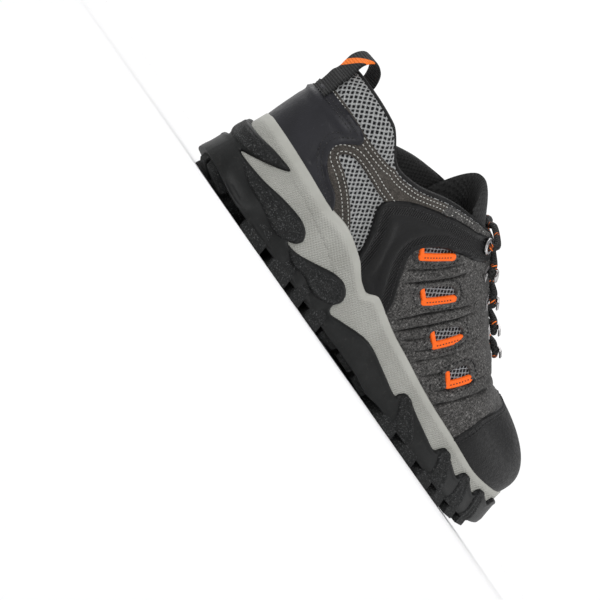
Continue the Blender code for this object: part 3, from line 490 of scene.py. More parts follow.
def skin(a, v):
    """Points on the upper's outer face; v is -1 at its foot, 0 at its widest level and 1 on its ridge."""
    s, at, reach, fx, fy, wx, wy, _ = ROUNDING.read(a)
    low, wide, top = bed(at), bed(at) + widest(at), ridge(s)
    turn = np.clip(v, 0, 0.998) * pi / 2
    z = np.where(v < 0, wide + v * (wide - low), wide + (top - wide) * np.sin(turn) ** (2 / ROUND))
    r = reach * np.where(v < 0, 1 - 0.045 * v**2, np.cos(turn) ** (2 / ROUND))
    return np.stack([fx + wx * r, fy + wy * r, z], axis=-1)


def v_at(a, z):
    """The v of a height on the skin."""
    s, at, *_ = ROUNDING.read(a)
    low, wide, top = bed(at), bed(at) + widest(at), ridge(s)
    up = np.clip((z - wide) / (top - wide), 0, 1)
    return np.where(z < wide, (z - wide) / (wide - low), np.arcsin(up ** (ROUND / 2)) / (pi / 2))


def wall_face(offset):
    """The sole's outer face, offset out from the foam's: a function of a and the height z."""

    def face(a, z):
        s, at, reach, fx, fy, wx, wy, _ = ROUNDING.read(a)
        low, high = base(at) + PLATE, edge(at)
        up = np.clip((z - low) / (high - low), 0, 1)
        waist = np.where(wy > 0, 1.5 * bell(at - 0.42, 0.12), 0)
        below = np.clip((bed(at) + widest(at) - high) / widest(at), 0, 1)
        r = reach * (1 - 0.045 * below**2) + RIM + (FLARE - waist) * (1 - up) ** 1.3 + offset
        return np.stack([fx + wx * r, fy + wy * r, z + 0 * r], axis=-1)

    return face


def normals(face, a, w, step=(0.6, 0.004)):
    """Outward unit normals of a face at (a, w)."""
    along = face(a + step[0], w) - face(a - step[0], w)
    up = face(a, w + step[1]) - face(a, w - step[1])
    return unit(np.cross(along, up))


def skin_normals(a, v):
    """Outward unit normals of the skin."""
    return normals(skin, a, np.clip(v, -0.99, 0.985))


def normals_of(face):
    """The normals that go with a face: a function of a and v on the skin, and of a and z on the sole."""
    return skin_normals if face is skin else (lambda a, w: normals(face, a, w, (0.6, 0.3)))


def girth(a, v):
    """How far up the skin v is from its foot, in mm."""
    steps = np.linspace(0, 1, 25)
    line = [skin(a, -1 + (v + 1) * t) for t in steps]
    return sum(np.linalg.norm(q - p, axis=-1) for p, q in zip(line, line[1:]))


def signed(points, outline):
    """How far inside a closed outline each flat point is; outside is below zero."""
    q = np.asarray(outline, float)
    shape = points.shape[:-1]
    points = points.reshape(-1, 2)
    nearest = np.full(len(points), 1e9)
    inside = np.zeros(len(points), bool)
    for b, c in zip(q, np.roll(q, -1, axis=0)):
        way = c - b
        t = np.clip(((points - b) @ way) / (way @ way + 1e-12), 0, 1)
        nearest = np.minimum(nearest, ((points - b - t[:, None] * way) ** 2).sum(axis=1))
        crosses = (b[1] > points[:, 1]) != (c[1] > points[:, 1])
        x = b[0] + (points[:, 1] - b[1]) * way[0] / (way[1] if abs(way[1]) > 1e-12 else 1e-12)
        inside ^= crosses & (points[:, 0] < x)
    return (np.where(inside, 1, -1) * np.sqrt(nearest)).reshape(shape)


def from_line(points, line):
    """How far each flat point is from an open line, and the share of the line that it is nearest."""
    q = np.asarray(line, float)
    shape = points.shape[:-1]
    points = points.reshape(-1, 2)
    size = np.linalg.norm(np.diff(q, axis=0), axis=1)
    start = np.r_[0, np.cumsum(size)]
    nearest, share = np.full(len(points), 1e9), np.zeros(len(points))
    for b, c, s0, length in zip(q, q[1:], start, size):
        way = c - b
        t = np.clip(((points - b) @ way) / (way @ way + 1e-12), 0, 1)
        d = np.linalg.norm(points - b - t[:, None] * way, axis=1)
        share = np.where(d < nearest, (s0 + t * length) / start[-1], share)
        nearest = np.minimum(nearest, d)
    return nearest.reshape(shape), share.reshape(shape)


# ---- Meshes --------------------------------------------------------------------------------------------
def mesh(
    name, points, faces, finish, replaces=(), flat=None, marks=None, pick=None, sharp=50, weld=0
):
    """A piece of the shoe from points in millimetres. marks are numbers at its points for its material."""
    data = bpy.data.meshes.new(name)
    data.from_pydata(((np.asarray(points, float) - MIDDLE) * 0.001).tolist(), [], faces)
    for made in finish if isinstance(finish, (list, tuple)) else [finish]:
        data.materials.append(made)
    if pick is not None:
        data.polygons.foreach_set("material_index", np.asarray(pick, np.int32))
    if flat is not None:
        spread = np.c_[flat, np.zeros(len(flat))].astype(np.float32)
        data.attributes.new("flat", "FLOAT_VECTOR", "POINT").data.foreach_set("vector", spread.ravel())
    for key, values in (marks or {}).items():
        values = np.asarray(values, np.float32).ravel()
        data.attributes.new(key, "FLOAT", "POINT").data.foreach_set("value", values)
    if weld:
        work = bmesh.new()
        work.from_mesh(data)
        bmesh.ops.remove_doubles(work, verts=work.verts, dist=weld * 0.001)
        bmesh.ops.dissolve_degenerate(work, edges=work.edges, dist=1e-6)
        work.to_mesh(data)
        work.free()
    data.validate()
    data.shade_smooth()
    data.set_sharp_from_angle(angle=radians(sharp))
    obj = bpy.data.objects.new(name, data)
    bpy.context.scene.collection.objects.link(obj)
    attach(obj, "root")
    if replaces:
        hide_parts(*replaces)
    return obj


def bevelled(obj, width, segments, angle):
    """Rounds an object's sharp edges."""
    bevel = obj.modifiers.new("rounded", "BEVEL")
    bevel.width, bevel.segments = width, segments
    bevel.limit_method, bevel.angle_limit = "ANGLE", radians(angle)


def grid_faces(rows, cols, around=False):
    """Quads over a grid of points, closed round its columns where asked."""
    r, c = np.meshgrid(np.arange(rows - 1), np.arange(cols if around else cols - 1), indexing="ij")
    right = (c + 1) % cols
    quads = np.stack([r * cols + c, r * cols + right, (r + 1) * cols + right, (r + 1) * cols + c], axis=-1)
    return quads.reshape(-1, 4)


def tube_faces(rows, cols):
    """Quads over rings of points, with a lid across each end."""
    last = (rows - 1) * cols
    quads = grid_faces(rows, cols, around=True).tolist()
    return [*quads, list(range(cols))[::-1], [last + i for i in range(cols)]]


def tied(first, count, start, turned):
    """A lid of quads across the ring of count points that starts at first, tied from side to side."""
    end = first + count - 1 + start
    quads = [[first + i, first + i + 1, end - i - 1, end - i] for i in range(start, count // 2 - 1)]
    return [quad[::-1] for quad in quads] if turned else quads


def snapped(field, a, w, measure):
    """Moves the grid's points that nearly lie on the field's zero line onto it."""
    for _ in range(2):
        step_w, step_a = np.gradient(field)
        size = step_w**2 + step_a**2
        reach = np.sqrt(np.maximum(size, 1e-12))
        near = (np.abs(field) < 0.42 * reach) & (size > 1e-9)
        grid_w, grid_a = np.gradient(w, axis=0), np.gradient(a, axis=1)
        a = np.where(near, a - field * step_a / np.maximum(size, 1e-9) * grid_a, a)
        w = np.where(near, w - field * step_w / np.maximum(size, 1e-9) * grid_w, w)
        field = measure(a, w)
    return np.where(near, 0.0, field), a, w


def clipped(field):
    """The grid's cells cut along the field's zero line: faces, and the cuts as (point, point, share)."""
    rows, cols = field.shape
    f = field.ravel()
    quads = grid_faces(rows, cols)
    values = f[quads]
    whole = (values >= 0).all(axis=1) & (values > 0).any(axis=1)
    faces = quads[whole].tolist()
    cuts, known = [], {}
    for quad in quads[~whole & (values > 0).any(axis=1)].tolist():
        out = []
        for i, j in zip(quad, quad[1:] + quad[:1]):
            if f[i] >= 0:
                out.append(i)
            if f[i] * f[j] < 0:
                key = (min(i, j), max(i, j))
                if key not in known:
                    known[key] = rows * cols + len(cuts)
                    cuts.append((*key, f[key[0]] / (f[key[0]] - f[key[1]])))
                out.append(known[key])
        if len(out) > 2:
            faces.append(out)
    return faces, cuts


def used_only(faces, *arrays):
    """Drops points that no face has."""
    keep = np.unique(np.concatenate([np.asarray(f) for f in faces]))
    new = np.zeros(keep[-1] + 1, int)
    new[keep] = np.arange(len(keep))
    return [new[np.asarray(f)].tolist() for f in faces], *[x[keep] for x in arrays]


def rim_of(faces):
    """The directed edges that only one face has."""
    edges = {}
    for f in faces:
        for i, j in zip(f, f[1:] + f[:1]):
            edges[i, j] = edges.get((i, j), 0) + 1
    return [(i, j) for i, j in edges if (j, i) not in edges]


def patch(
    name, a, w, measure, thick, finish, lift, relief=None, face=skin, sink=0.5, rounding=0.9,
    replaces=(), extra=None,
):
    """A layer on a face: the grid (a, w) kept where measure(a, w) is over zero, rounded at its rim.

    relief adds to its height, and extra gives marks for its material. Its seams are read with contour().
    """
    field, a, w = snapped(measure(a, w), a, w, measure)
    faces, cuts = clipped(field)
    a, w, f = a.ravel(), w.ravel(), field.ravel()
    if cuts:
        i, j, t = np.array(cuts).T
        i, j = i.astype(int), j.astype(int)
        a, w = np.r_[a, a[i] + (a[j] - a[i]) * t], np.r_[w, w[i] + (w[j] - w[i]) * t]
        f = np.r_[f, np.zeros(len(t))]
    faces, a, w, f = used_only(faces, a, w, f)
    at, out = face(a, w), normals_of(face)(a, w)
    in_share = np.clip(f / rounding, 0, 1)
    height = lift + thick * (0.35 + 0.65 * np.sqrt(1 - (1 - in_share) ** 2))
    if relief is not None:
        height = height + relief(at, f, a, w)
    points = at + out * height[:, None]
    rim = rim_of(faces)
    low = {}
    for i, j in rim:
        for k in (i, j):
            if k not in low:
                low[k] = len(points) + len(low)
        faces.append([j, i, low[i], low[j]])
    under = np.array(list(low))
    points = np.vstack([points, at[under] - out[under] * sink])
    spread = np.c_[a, girth(a, w) if face is skin else w]
    spread = np.vstack([spread, spread[under]])
    marks = {"rim": np.r_[f, f[under]]}
    for key, values in (extra(at, a, w) if extra else {}).items():
        marks[key] = np.r_[values, values[under]]
    mesh(name, points, faces, finish, replaces, spread, marks, sharp=62)


def contour(a, w, field, level):
    """The lines where a field over the grid passes a level, each as (a, w) places."""
    f = field - level
    f = np.where(np.abs(f) < 1e-9, 1e-9, f)
    rows, cols = f.shape
    links = {}
    points = {}

    def cross(p, q):
        key = (p, q) if p < q else (q, p)
        if key not in points:
            t = f[key[0]] / (f[key[0]] - f[key[1]])
            points[key] = (
                a[key[0]] + (a[key[1]] - a[key[0]]) * t,
                w[key[0]] + (w[key[1]] - w[key[0]]) * t,
            )
        return key

    mixed = (np.sign(f[:-1, :-1]) + np.sign(f[1:, :-1]) + np.sign(f[:-1, 1:]) + np.sign(f[1:, 1:]))
    for r, c in zip(*np.where(np.abs(mixed) < 4)):
        corners = [(r, c), (r, c + 1), (r + 1, c + 1), (r + 1, c)]
        hits = [cross(p, q) for p, q in zip(corners, corners[1:] + corners[:1]) if f[p] * f[q] < 0]
        for p, q in zip(hits[::2], hits[1::2]):
            links.setdefault(p, []).append(q)
            links.setdefault(q, []).append(p)
    lines, seen = [], set()
    for start in sorted(links, key=lambda k: (len(links[k]) > 1, k)):
        if start in seen:
            continue
        line, here = [start], start
        seen.add(start)
        while True:
            step = [k for k in links[here] if k not in seen]
            if not step:
                break
            here = step[0]
            seen.add(here)
            line.append(here)
        if len(links[start]) > 1 and start in links[here]:
            line.append(start)
        if len(line) > 4:
            lines.append(np.array([points[k] for k in line]))
    return lines


def spaced(line, gap, face=skin):
    """Places along a line of (a, w), gap mm apart on the face."""
    q = face(line[:, 0], line[:, 1])
    size = travelled(q)
    at = np.arange(gap / 2, size[-1], gap)
    return np.c_[np.interp(at, size, line[:, 0]), np.interp(at, size, line[:, 1])]


class Stitches:
    """Every stitch of one thread colour, gathered into one piece."""

    def __init__(self):
        self.points, self.faces = [], []

    def row(self, line, height, gap=2.6, length=1.7, radius=0.34, face=skin, keep=None):
        """Stitches along a line of (a, w), their middle at that height over the face."""
        if len(line) < 5:
            return
        at = spaced(line, gap, face)
        if keep is not None and len(at):
            at = at[keep(face(at[:, 0], at[:, 1]))]
        if len(at) < 3:
            return
        q = face(at[:, 0], at[:, 1])
        out = normals_of(face)(at[:, 0], at[:, 1])
        fine = spaced(line, 0.5, face)
        fine_q = face(fine[:, 0], fine[:, 1])
        turn = np.arange(6) / 6 * tau
        for k in range(len(at)):
            near = np.argmin(((fine_q - q[k]) ** 2).sum(axis=1))
            way = fine_q[min(near + 2, len(fine_q) - 1)] - fine_q[max(near - 2, 0)]
            size = np.linalg.norm(way)
            if size < 1e-6:
                continue
            way = way / size
            side = np.cross(out[k], way)
            side /= np.linalg.norm(side)
            raised = height(q[k]) if callable(height) else height
            middle = q[k] + out[k] * raised
            first = len(self.points)
            for t, r, drop in ((-0.5, 0.35, -0.45), (-0.28, 0.9, 0), (0.28, 0.9, 0), (0.5, 0.35, -0.45)):
                for angle in turn:
                    self.points.append(
                        middle + way * t * length + out[k] * (radius * (drop + 0.75 * r * sin(angle)))
                        + side * radius * r * cos(angle)
                    )
            for ring in range(3):
                for i in range(6):
                    j = (i + 1) % 6
                    b = first + 6 * ring
                    self.faces.append((b + j, b + i, b + 6 + i, b + 6 + j))
            self.faces.append(tuple(first + i for i in range(6)))
            self.faces.append(tuple(first + 18 + i for i in range(5, -1, -1)))

    def rows(self, a, w, field, depths, height, **size):
        """Rows along the lines where a field over the grid passes each depth."""
        for depth in depths:
            for line in contour(a, w, field, depth):
                self.row(line, height, **size)

    def piece(self, name, finish):
        """One mesh of all the stitches."""
        mesh(name, self.points, self.faces, finish, sharp=80)


def pipe(line, radius, sides=12, closed=False):
    """A round tube along points: its points, its faces and its flat places."""
    line = np.asarray(line, float)
    n = len(line)
    way = unit(np.roll(line, -1, axis=0) - np.roll(line, 1, axis=0) if closed else np.gradient(line, axis=0))
    side = np.zeros_like(line)
    s = np.cross(way[0], [0, 0, 1.0])
    for k in range(n):
        s = s - way[k] * (s @ way[k])
        s = s / np.linalg.norm(s)
        side[k] = s
    up = np.cross(side, way)
    turn = np.arange(sides) / sides * tau
    spread = side[:, None] * np.cos(turn)[None, :, None] + up[:, None] * np.sin(turn)[None, :, None]
    rings = line[:, None] + radius * spread
    flat = np.stack(np.broadcast_arrays(travelled(line)[:, None], (turn / tau)[None]), axis=-1)
    faces = tube_faces(n, sides)
    if closed:
        last = (n - 1) * sides
        faces = faces[:-2] + [[last + i, last + (i + 1) % sides, (i + 1) % sides, i] for i in range(sides)]
    return rings.reshape(-1, 3), faces, flat.reshape(-1, 2)


# ---- Materials -----------------------------------------------------------------------------------------
class Paint:
    """A Principled material, and short words for the nodes that feed it."""

    def __init__(self, name, roughness=0.7, shine=0.25, **sockets):
        self.made = bpy.data.materials.new(name)
        self.made.use_nodes = True
        self.tree = self.made.node_tree
        self.shader = self.tree.nodes["Principled BSDF"]
        self.shader.inputs["Roughness"].default_value = roughness
        self.shader.inputs["Specular IOR Level"].default_value = shine
        for key, value in sockets.items():
            self.shader.inputs[key.replace("_", " ")].default_value = value
        self.place = None

    def node(self, kind, inputs=(), **settings):
        made = self.tree.nodes.new("ShaderNode" + kind)
        for key, value in settings.items():
            setattr(made, key, value)
        for key, value in dict(inputs).items():
            if isinstance(value, bpy.types.NodeSocket):
                self.tree.links.new(value, made.inputs[key])
            else:
                made.inputs[key].default_value = value
        return made

    def mm(self):
        """Places on the piece, in millimetres."""
        if self.place is None:
            spot = self.node("TexCoord").outputs["Object"]
            self.place = self.node("VectorMath", {0: spot, 3: 1000.0}, operation="SCALE").outputs[0]
        return self.place

    def mark(self, name):
        """A number that the mesh carries at its points."""
        return self.node("Attribute", attribute_name=name).outputs["Fac"]

    def flat(self):
        """Places on the piece as if it were laid flat: along it, and across it."""
        return self.split(self.node("Attribute", attribute_name="flat").outputs["Vector"])[:2]

    def split(self, vector):
        return self.node("SeparateXYZ", {0: vector}).outputs

    def math(self, operation, *values, clamp=False):
        return self.node("Math", dict(enumerate(values)), operation=operation, use_clamp=clamp).outputs[0]

    plus = partialmethod(math, "ADD")
    less = partialmethod(math, "SUBTRACT")
    times = partialmethod(math, "MULTIPLY")
    sine = partialmethod(math, "SINE")

    def noise(self, scale, detail=2.0, rough=0.5, stretch=None):
        vector = self.mm()
        if stretch:
            vector = self.node("VectorMath", {0: vector, 1: stretch}, operation="MULTIPLY").outputs[0]
        inputs = {"Vector": vector, "Scale": scale, "Detail": detail, "Roughness": rough}
        return self.node("TexNoise", inputs).outputs["Fac"]

    def cells(self, scale):
        return self.node("TexVoronoi", {"Vector": self.mm(), "Scale": scale}).outputs["Distance"]

    def steps(self, value, low, high, to=(0.0, 1.0)):
        inputs = {"Value": value, "From Min": low, "From Max": high, "To Min": to[0], "To Max": to[1]}
        return self.node("MapRange", inputs, interpolation_type="SMOOTHSTEP").outputs["Result"]

    def ramp(self, value, *stops):
        made = self.node("ValToRGB", {0: value})
        line = made.color_ramp
        while len(line.elements) < len(stops):
            line.elements.new(0.5)
        for element, (place, colour) in zip(line.elements, stops):
            element.position, element.color = place, (*colour, 1)
        return made.outputs[0]

    def mix(self, share, first, second, kind="MIX"):
        made = self.node("Mix", data_type="RGBA", blend_type=kind)
        for socket, value in zip((made.inputs[0], made.inputs[6], made.inputs[7]), (share, first, second)):
            if isinstance(value, bpy.types.NodeSocket):
                self.tree.links.new(value, socket)
            elif isinstance(value, tuple):
                socket.default_value = (*value, 1)
            else:
                socket.default_value = value
        return made.outputs[2]

    def shaded(self, colour, share):
        """A colour, darkened or lightened by a share."""
        tint = self.node("CombineColor", {0: share, 1: share, 2: share}).outputs[0]
        return self.mix(1.0, colour, tint, "MULTIPLY")

    def bump(self, height, distance, strength=1.0, under=None):
        inputs = {"Height": height, "Distance": distance * 0.001, "Strength": strength}
        if under is not None:
            inputs["Normal"] = under
        return self.node("Bump", inputs).outputs[0]

    def feed(self, **sockets):
        for key, value in sockets.items():
            self.tree.links.new(value, self.shader.inputs[key.replace("_", " ")])
        return self.made


def grey(level, warm=0.0):
    """A grey, with a little more red and less blue where it is warm."""
    return (level * (1 + warm), level, level * (1 - warm))


def scaled(colour, by):
    """A darker or paler colour of the same hue."""
    return tuple(by * c for c in colour)


def canvas():
    """Heathered charcoal suede: short pale fibres over dark ones, a broad random tone, and painted shade that
    darkens it where it is sunk in its creases and seams.
    """
    m = Paint("heathered_suede", 0.9, 0.15, Sheen_Weight=0.05, Sheen_Roughness=0.5)
    one = m.noise(1.35, 3, 0.65, (1.0, 1.0, 0.42))
    two = m.noise(1.9, 2, 0.6, (0.35, 0.35, 1.0))
    mixed = m.plus(m.times(one, 0.55), m.times(two, 0.45))
    stops = ((0.36, 0.010), (0.46, 0.036), (0.56, 0.075), (0.66, 0.19))
    colour = m.ramp(mixed, *((place, grey(level, 0.03)) for place, level in stops))
    broad = m.steps(m.noise(0.06, 2), 0.3, 0.7, (0.86, 1.12))
    # Painted shade: the suede is darkened where the vamp's relief sinks it, in its creases and seam channels.
    sunk = m.steps(m.mark("sunk"), 0.1, 1.0, (1.0, 0.22))
    return m.feed(Base_Color=m.shaded(colour, m.times(broad, sunk)), Normal=m.bump(mixed, 0.35, 0.8))


def band_suede():
    """The plainer olive-grey suede of the collar band."""
    m = Paint("band_suede", 0.92, 0.15, Sheen_Weight=0.05, Sheen_Roughness=0.5)
    grain = m.noise(1.5, 3, 0.65)
    colour = m.ramp(grain, (0.35, grey(0.022, 0.12)), (0.55, grey(0.046, 0.12)), (0.70, grey(0.100, 0.11)))
    broad = m.steps(m.noise(0.07, 2), 0.3, 0.7, (0.85, 1.1))
    return m.feed(Base_Color=m.shaded(colour, broad), Normal=m.bump(grain, 0.3, 0.7))


def knit(name, yarn, dark, hole, pitch):
    """An open knit: diamond holes between slanting yarns, read on the flat, and a painted highlight where the
    yarns cross.
    """
    m = Paint(name, 0.85, 0.2, Sheen_Weight=0.05)
    x, y = m.flat()
    sway = m.times(m.less(m.noise(0.3, 2), 0.5), 1.3)
    u = m.times(m.plus(x, sway), pi / pitch[0])
    w = m.times(m.less(y, sway), pi / pitch[1])
    one = m.math("ABSOLUTE", m.sine(m.plus(u, w)))
    two = m.math("ABSOLUTE", m.sine(m.less(u, w)))
    open_ = m.steps(m.math("MINIMUM", one, two), *hole)
    strand = m.sine(m.plus(m.times(x, 9.0), m.times(y, 6.5)))
    fibre = m.steps(m.plus(m.times(strand, 0.25), m.noise(2.0, 2, 0.7)), 0.25, 0.85)
    # Painted highlight: the yarns are painted lighter where they cross.
    knot = m.steps(m.math("MAXIMUM", one, two), 0.95, 0.25)
    bright = m.times(fibre, m.steps(knot, 0.0, 1.0, (0.55, 1.0)))
    yarns = m.mix(bright, scaled(yarn, 0.30), yarn)
    height = m.less(m.plus(m.times(fibre, 0.25), m.times(knot, 0.35)), open_)
    return m.feed(Base_Color=m.mix(open_, yarns, dark), Normal=m.bump(height, 0.8, 1.0))


def lining():
    """Black lining with a small square lattice."""
    m = Paint("lining", 0.95, Sheen_Weight=0.05)
    x, y = m.flat()
    lattice = m.times(m.math("COSINE", m.times(x, 2.1)), m.math("COSINE", m.times(y, 2.1)))
    grain = m.noise(1.6, 3)
    colour = m.ramp(grain, (0.3, grey(0.012)), (0.7, grey(0.036)))
    tone = m.mix(m.steps(lattice, 0.3, 0.8), colour, grey(0.012))
    return m.feed(Base_Color=tone, Normal=m.bump(lattice, 0.25, 0.6))


def hide(name, colour, roughness=0.5, hatch=0.0, grain=0.12):
    """Smooth moulded leather: a fine grain, scuffs that lighten the rim, and an optional fine hatch."""
    m = Paint(name, roughness, 0.2)
    fine = m.cells(1.1)
    soft = m.noise(0.5, 4, 0.6)
    base_ = m.ramp(m.noise(0.09, 3), (0.3, scaled(colour, 0.82)), (0.7, scaled(colour, 1.15)))
    worn = m.times(m.steps(m.mark("rim"), 1.1, 0.0), m.steps(soft, 0.35, 0.7))
    scuff = m.times(m.steps(m.noise(0.9, 4, 0.7, (1.0, 1.0, 0.3)), 0.62, 0.74), 0.35)
    pale = m.plus(m.times(worn, 0.5), scuff, clamp=True)
    tone = m.mix(pale, base_, tuple(min(1, 2.4 * c + 0.01) for c in colour))
    normal = m.bump(fine, grain, 0.6)
    if hatch:
        x, y, z = m.split(m.mm())
        lines = m.sine(m.times(m.plus(x, m.times(z, 0.35)), hatch))
        normal = m.bump(m.times(lines, m.mark("ribbed")), 0.45, 0.9, normal)
    rough = m.steps(soft, 0.2, 0.8, (roughness - 0.08, roughness + 0.12))
    return m.feed(Base_Color=tone, Normal=normal, Roughness=rough)


def thread(name, colour):
    """Sewing thread, with painted shade between its plies."""
    m = Paint(name, 0.75, Sheen_Weight=0.2)
    twist = m.noise(3.2, 2, 0.6, (1.0, 1.0, 2.0))
    # Painted shade: darker where the twist is low, between the plies.
    tone = m.ramp(twist, (0.3, scaled(colour, 0.55)), (0.7, colour))
    return m.feed(Base_Color=tone, Normal=m.bump(twist, 0.15))


def foam():
    """Warm grey foam with a moulded grid of fine dimples, painted shade in their pits and along the parting
    groove, and a little dirt low down.
    """
    m = Paint("foam", 0.62)
    x, y, z = m.split(m.mm())
    slant = m.plus(m.less(x, y), m.times(z, 0.6))
    rib = m.sine(m.times(slant, 3.9))
    row = m.sine(m.times(z, 3.9))
    dimple = m.times(m.times(rib, row), m.mark("ribbed"))
    tone = m.ramp(m.noise(0.05, 3), (0.3, (0.305, 0.305, 0.278)), (0.7, (0.365, 0.365, 0.337)))
    dirt = m.times(m.steps(m.noise(0.22, 5, 0.7), 0.52, 0.72), m.steps(m.mark("rim"), 7.0, 0.0))
    # Painted shade: the foam is darkened along its parting line's groove.
    groove_shade = m.steps(m.mark("groove_shade"), 0.2, 1.0)
    tone = m.mix(m.times(dirt, 0.35), tone, (0.16, 0.145, 0.12))
    tone = m.mix(m.times(groove_shade, 0.55), tone, (0.15, 0.148, 0.135))
    normal = m.bump(m.noise(2.0, 2), 0.06, 0.4)
    # Painted shade: the foam is darkened in the pits of its dimples.
    tone = m.mix(m.times(m.steps(dimple, -0.1, -0.8), 0.30), tone, (0.13, 0.128, 0.118))
    return m.feed(Base_Color=tone, Normal=m.bump(dimple, 0.30, 0.9, normal))


def tread_rubber():
    """Black rubber: grainy on its raised faces, with painted glints on the grain's peaks, smooth where it is
    sunk, and dusty low down.
    """
    m = Paint("tread_rubber", 0.55, 0.16)
    grit = m.noise(1.25, 3, 0.75)
    raised = m.mark("raised")
    height = m.times(grit, m.steps(raised, 0.1, 0.9, (0.12, 1.0)))
    tone = m.ramp(m.noise(0.12, 4), (0.3, (0.0050, 0.0055, 0.0055)), (0.7, (0.0095, 0.0100, 0.0100)))
    # Painted glints: pale specks on the grain's peaks, mostly on the raised faces.
    painted_glint = m.times(m.steps(grit, 0.52, 0.70), m.steps(raised, 0.3, 0.9, (0.05, 0.9)))
    tone = m.mix(painted_glint, tone, (0.085, 0.087, 0.088))
    dust = m.times(m.steps(m.noise(0.35, 5, 0.7), 0.55, 0.78), 0.12)
    tone = m.mix(dust, tone, (0.12, 0.112, 0.10))
    rough = m.steps(raised, 0.0, 1.0, (0.42, 0.62))
    return m.feed(Base_Color=tone, Normal=m.bump(height, 0.55, 0.9), Roughness=rough)


def braid():
    """A round woven lace: black with orange flecks, its weave painted lighter on its ridges and darker in its
    grooves, as painted highlight and shade.
    """
    m = Paint("lace_braid", 0.75, Sheen_Weight=0.05)
    x, y = m.flat()
    turn = m.times(y, tau * 4)
    one = m.sine(m.plus(m.times(x, 3.6), turn))
    two = m.sine(m.less(m.times(x, 3.6), turn))
    weave = m.math("MAXIMUM", one, two)
    fleck = m.times(m.steps(m.sine(m.times(x, 0.52)), 0.86, 0.97), m.steps(one, 0.25, 0.6))
    # Painted highlight and shade: the weave is lighter on its ridges and darker in its grooves.
    tone = m.mix(m.steps(weave, 0.2, 1.0), grey(0.004), grey(0.022))
    return m.feed(Base_Color=m.mix(fleck, tone, (0.80, 0.16, 0.015)), Normal=m.bump(weave, 0.3, 0.8))


def webbing(start, slope):
    """Ribbed black webbing, its ribs painted lighter than the furrows between them as painted highlight and
    shade, with an orange stripe that starts that far along it and slants.
    """
    m = Paint("loop_webbing", 0.8, Sheen_Weight=0.05)
    x, y = m.flat()
    rib = m.sine(m.times(x, 4.2))
    # Painted highlight and shade: the ribs are lighter on their crests and darker in the furrows.
    tone = m.mix(m.steps(rib, -0.4, 0.9), grey(0.004), grey(0.020))
    slant = m.math("ABSOLUTE", m.less(m.plus(x, m.times(y, slope)), start))
    tone = m.mix(m.steps(slant, 2.6, 2.1), tone, (0.80, 0.17, 0.015))
    return m.feed(Base_Color=tone, Normal=m.bump(rib, 0.25, 0.8))


def nickel():
    """Plated metal, a little uneven."""
    m = Paint("nickel", 0.3, Metallic=1.0)
    x = m.noise(0.25, 3, 0.6)
    tone = m.ramp(x, (0.35, (0.30, 0.29, 0.29)), (0.65, (0.50, 0.49, 0.49)))
    return m.feed(Base_Color=tone, Roughness=m.steps(x, 0.3, 0.7, (0.22, 0.34)))


def orange_tape():
    """The windows' bright tape."""
    m = Paint("orange_tape", 0.6)
    grain = m.noise(2.4, 2)
    tone = m.ramp(grain, (0.3, (0.74, 0.095, 0.004)), (0.7, (0.90, 0.140, 0.008)))
    return m.feed(Base_Color=tone, Normal=m.bump(grain, 0.12, 0.6))


# ---- Camera, lights and floor --------------------------------------------------------------------------
def camera_and_stage():
    """The camera at the photograph's angle, low over a white floor, four soft lamps and a pale sky."""
    turn, roll, away, height = radians(-38), radians(55), 1.43, 0.011
    middle = Vector((0.0, 0.0, 0.058))
    made = bpy.data.cameras.new("camera")
    made.lens, made.sensor_width, made.clip_start = 157, 36, 0.002
    camera = bpy.data.objects.new("camera", made)
    place = middle + Vector((sin(turn), -cos(turn), 0)) * away
    place.z = height
    facing = (middle - place).to_track_quat("-Z", "Y") @ Quaternion((0, 0, 1), roll)
    # The shoe stands right of the frame's middle, so the camera aims to its left.
    aim = middle + facing @ Vector((-0.0636, -0.0042, 0))
    camera.location = place
    camera.rotation_mode = "QUATERNION"
    camera.rotation_quaternion = (aim - place).to_track_quat("-Z", "Y") @ Quaternion((0, 0, 1), roll)
    bpy.context.scene.collection.objects.link(camera)
    bpy.context.scene.camera = camera

    m = Paint("floor", 0.9, 0.0)
    m.feed(Base_Color=m.ramp(m.noise(0.02, 3), (0.3, grey(0.885)), (0.7, grey(0.90))))
    data = bpy.data.meshes.new("floor")
    data.from_pydata([(-60, -60, 0), (60, -60, 0), (60, 60, 0), (-60, 60, 0)], [], [(0, 1, 2, 3)])
    data.materials.append(m.made)
    floor = bpy.data.objects.new("floor", data)
    bpy.context.scene.collection.objects.link(floor)

    world = bpy.data.worlds.new("studio")
    bpy.context.scene.world = world
    world.use_nodes = True
    # White round the horizon, and dimmer overhead, where the lamps take over.
    nodes, links = world.node_tree.nodes, world.node_tree.links
    way = nodes.new("ShaderNodeSeparateXYZ")
    links.new(nodes.new("ShaderNodeTexCoord").outputs["Generated"], way.inputs[0])
    sky = nodes.new("ShaderNodeValToRGB")
    links.new(way.outputs["Z"], sky.inputs[0])
    stops = ((0.22, (1.0, 1.0, 1.0, 1)), (0.60, (0.28, 0.28, 0.29, 1)))
    for stop, (place, colour) in zip(sky.color_ramp.elements, stops):
        stop.position, stop.color = place, colour
    links.new(sky.outputs[0], nodes["Background"].inputs["Color"])
    nodes["Background"].inputs["Strength"].default_value = 1.05
    bpy.context.scene.view_settings.view_transform = "Standard"
    for name, where, spread, power in (
        ("key", (-1.5, -1.2, 1.5), 35, 1.55), ("side", (-0.2, -2.0, 0.9), 40, 0.35),
        ("front", (1.6, -0.9, 1.1), 45, 0.8), ("back", (-0.5, 1.7, 1.3), 50, 1.2),
    ):
        light = bpy.data.lights.new(name, "SUN")
        light.energy, light.angle = power, radians(spread)
        lamp = bpy.data.objects.new(name, light)
        lamp.rotation_mode = "QUATERNION"
        lamp.rotation_quaternion = (-Vector(where)).to_track_quat("-Z", "Y")
        bpy.context.scene.collection.objects.link(lamp)


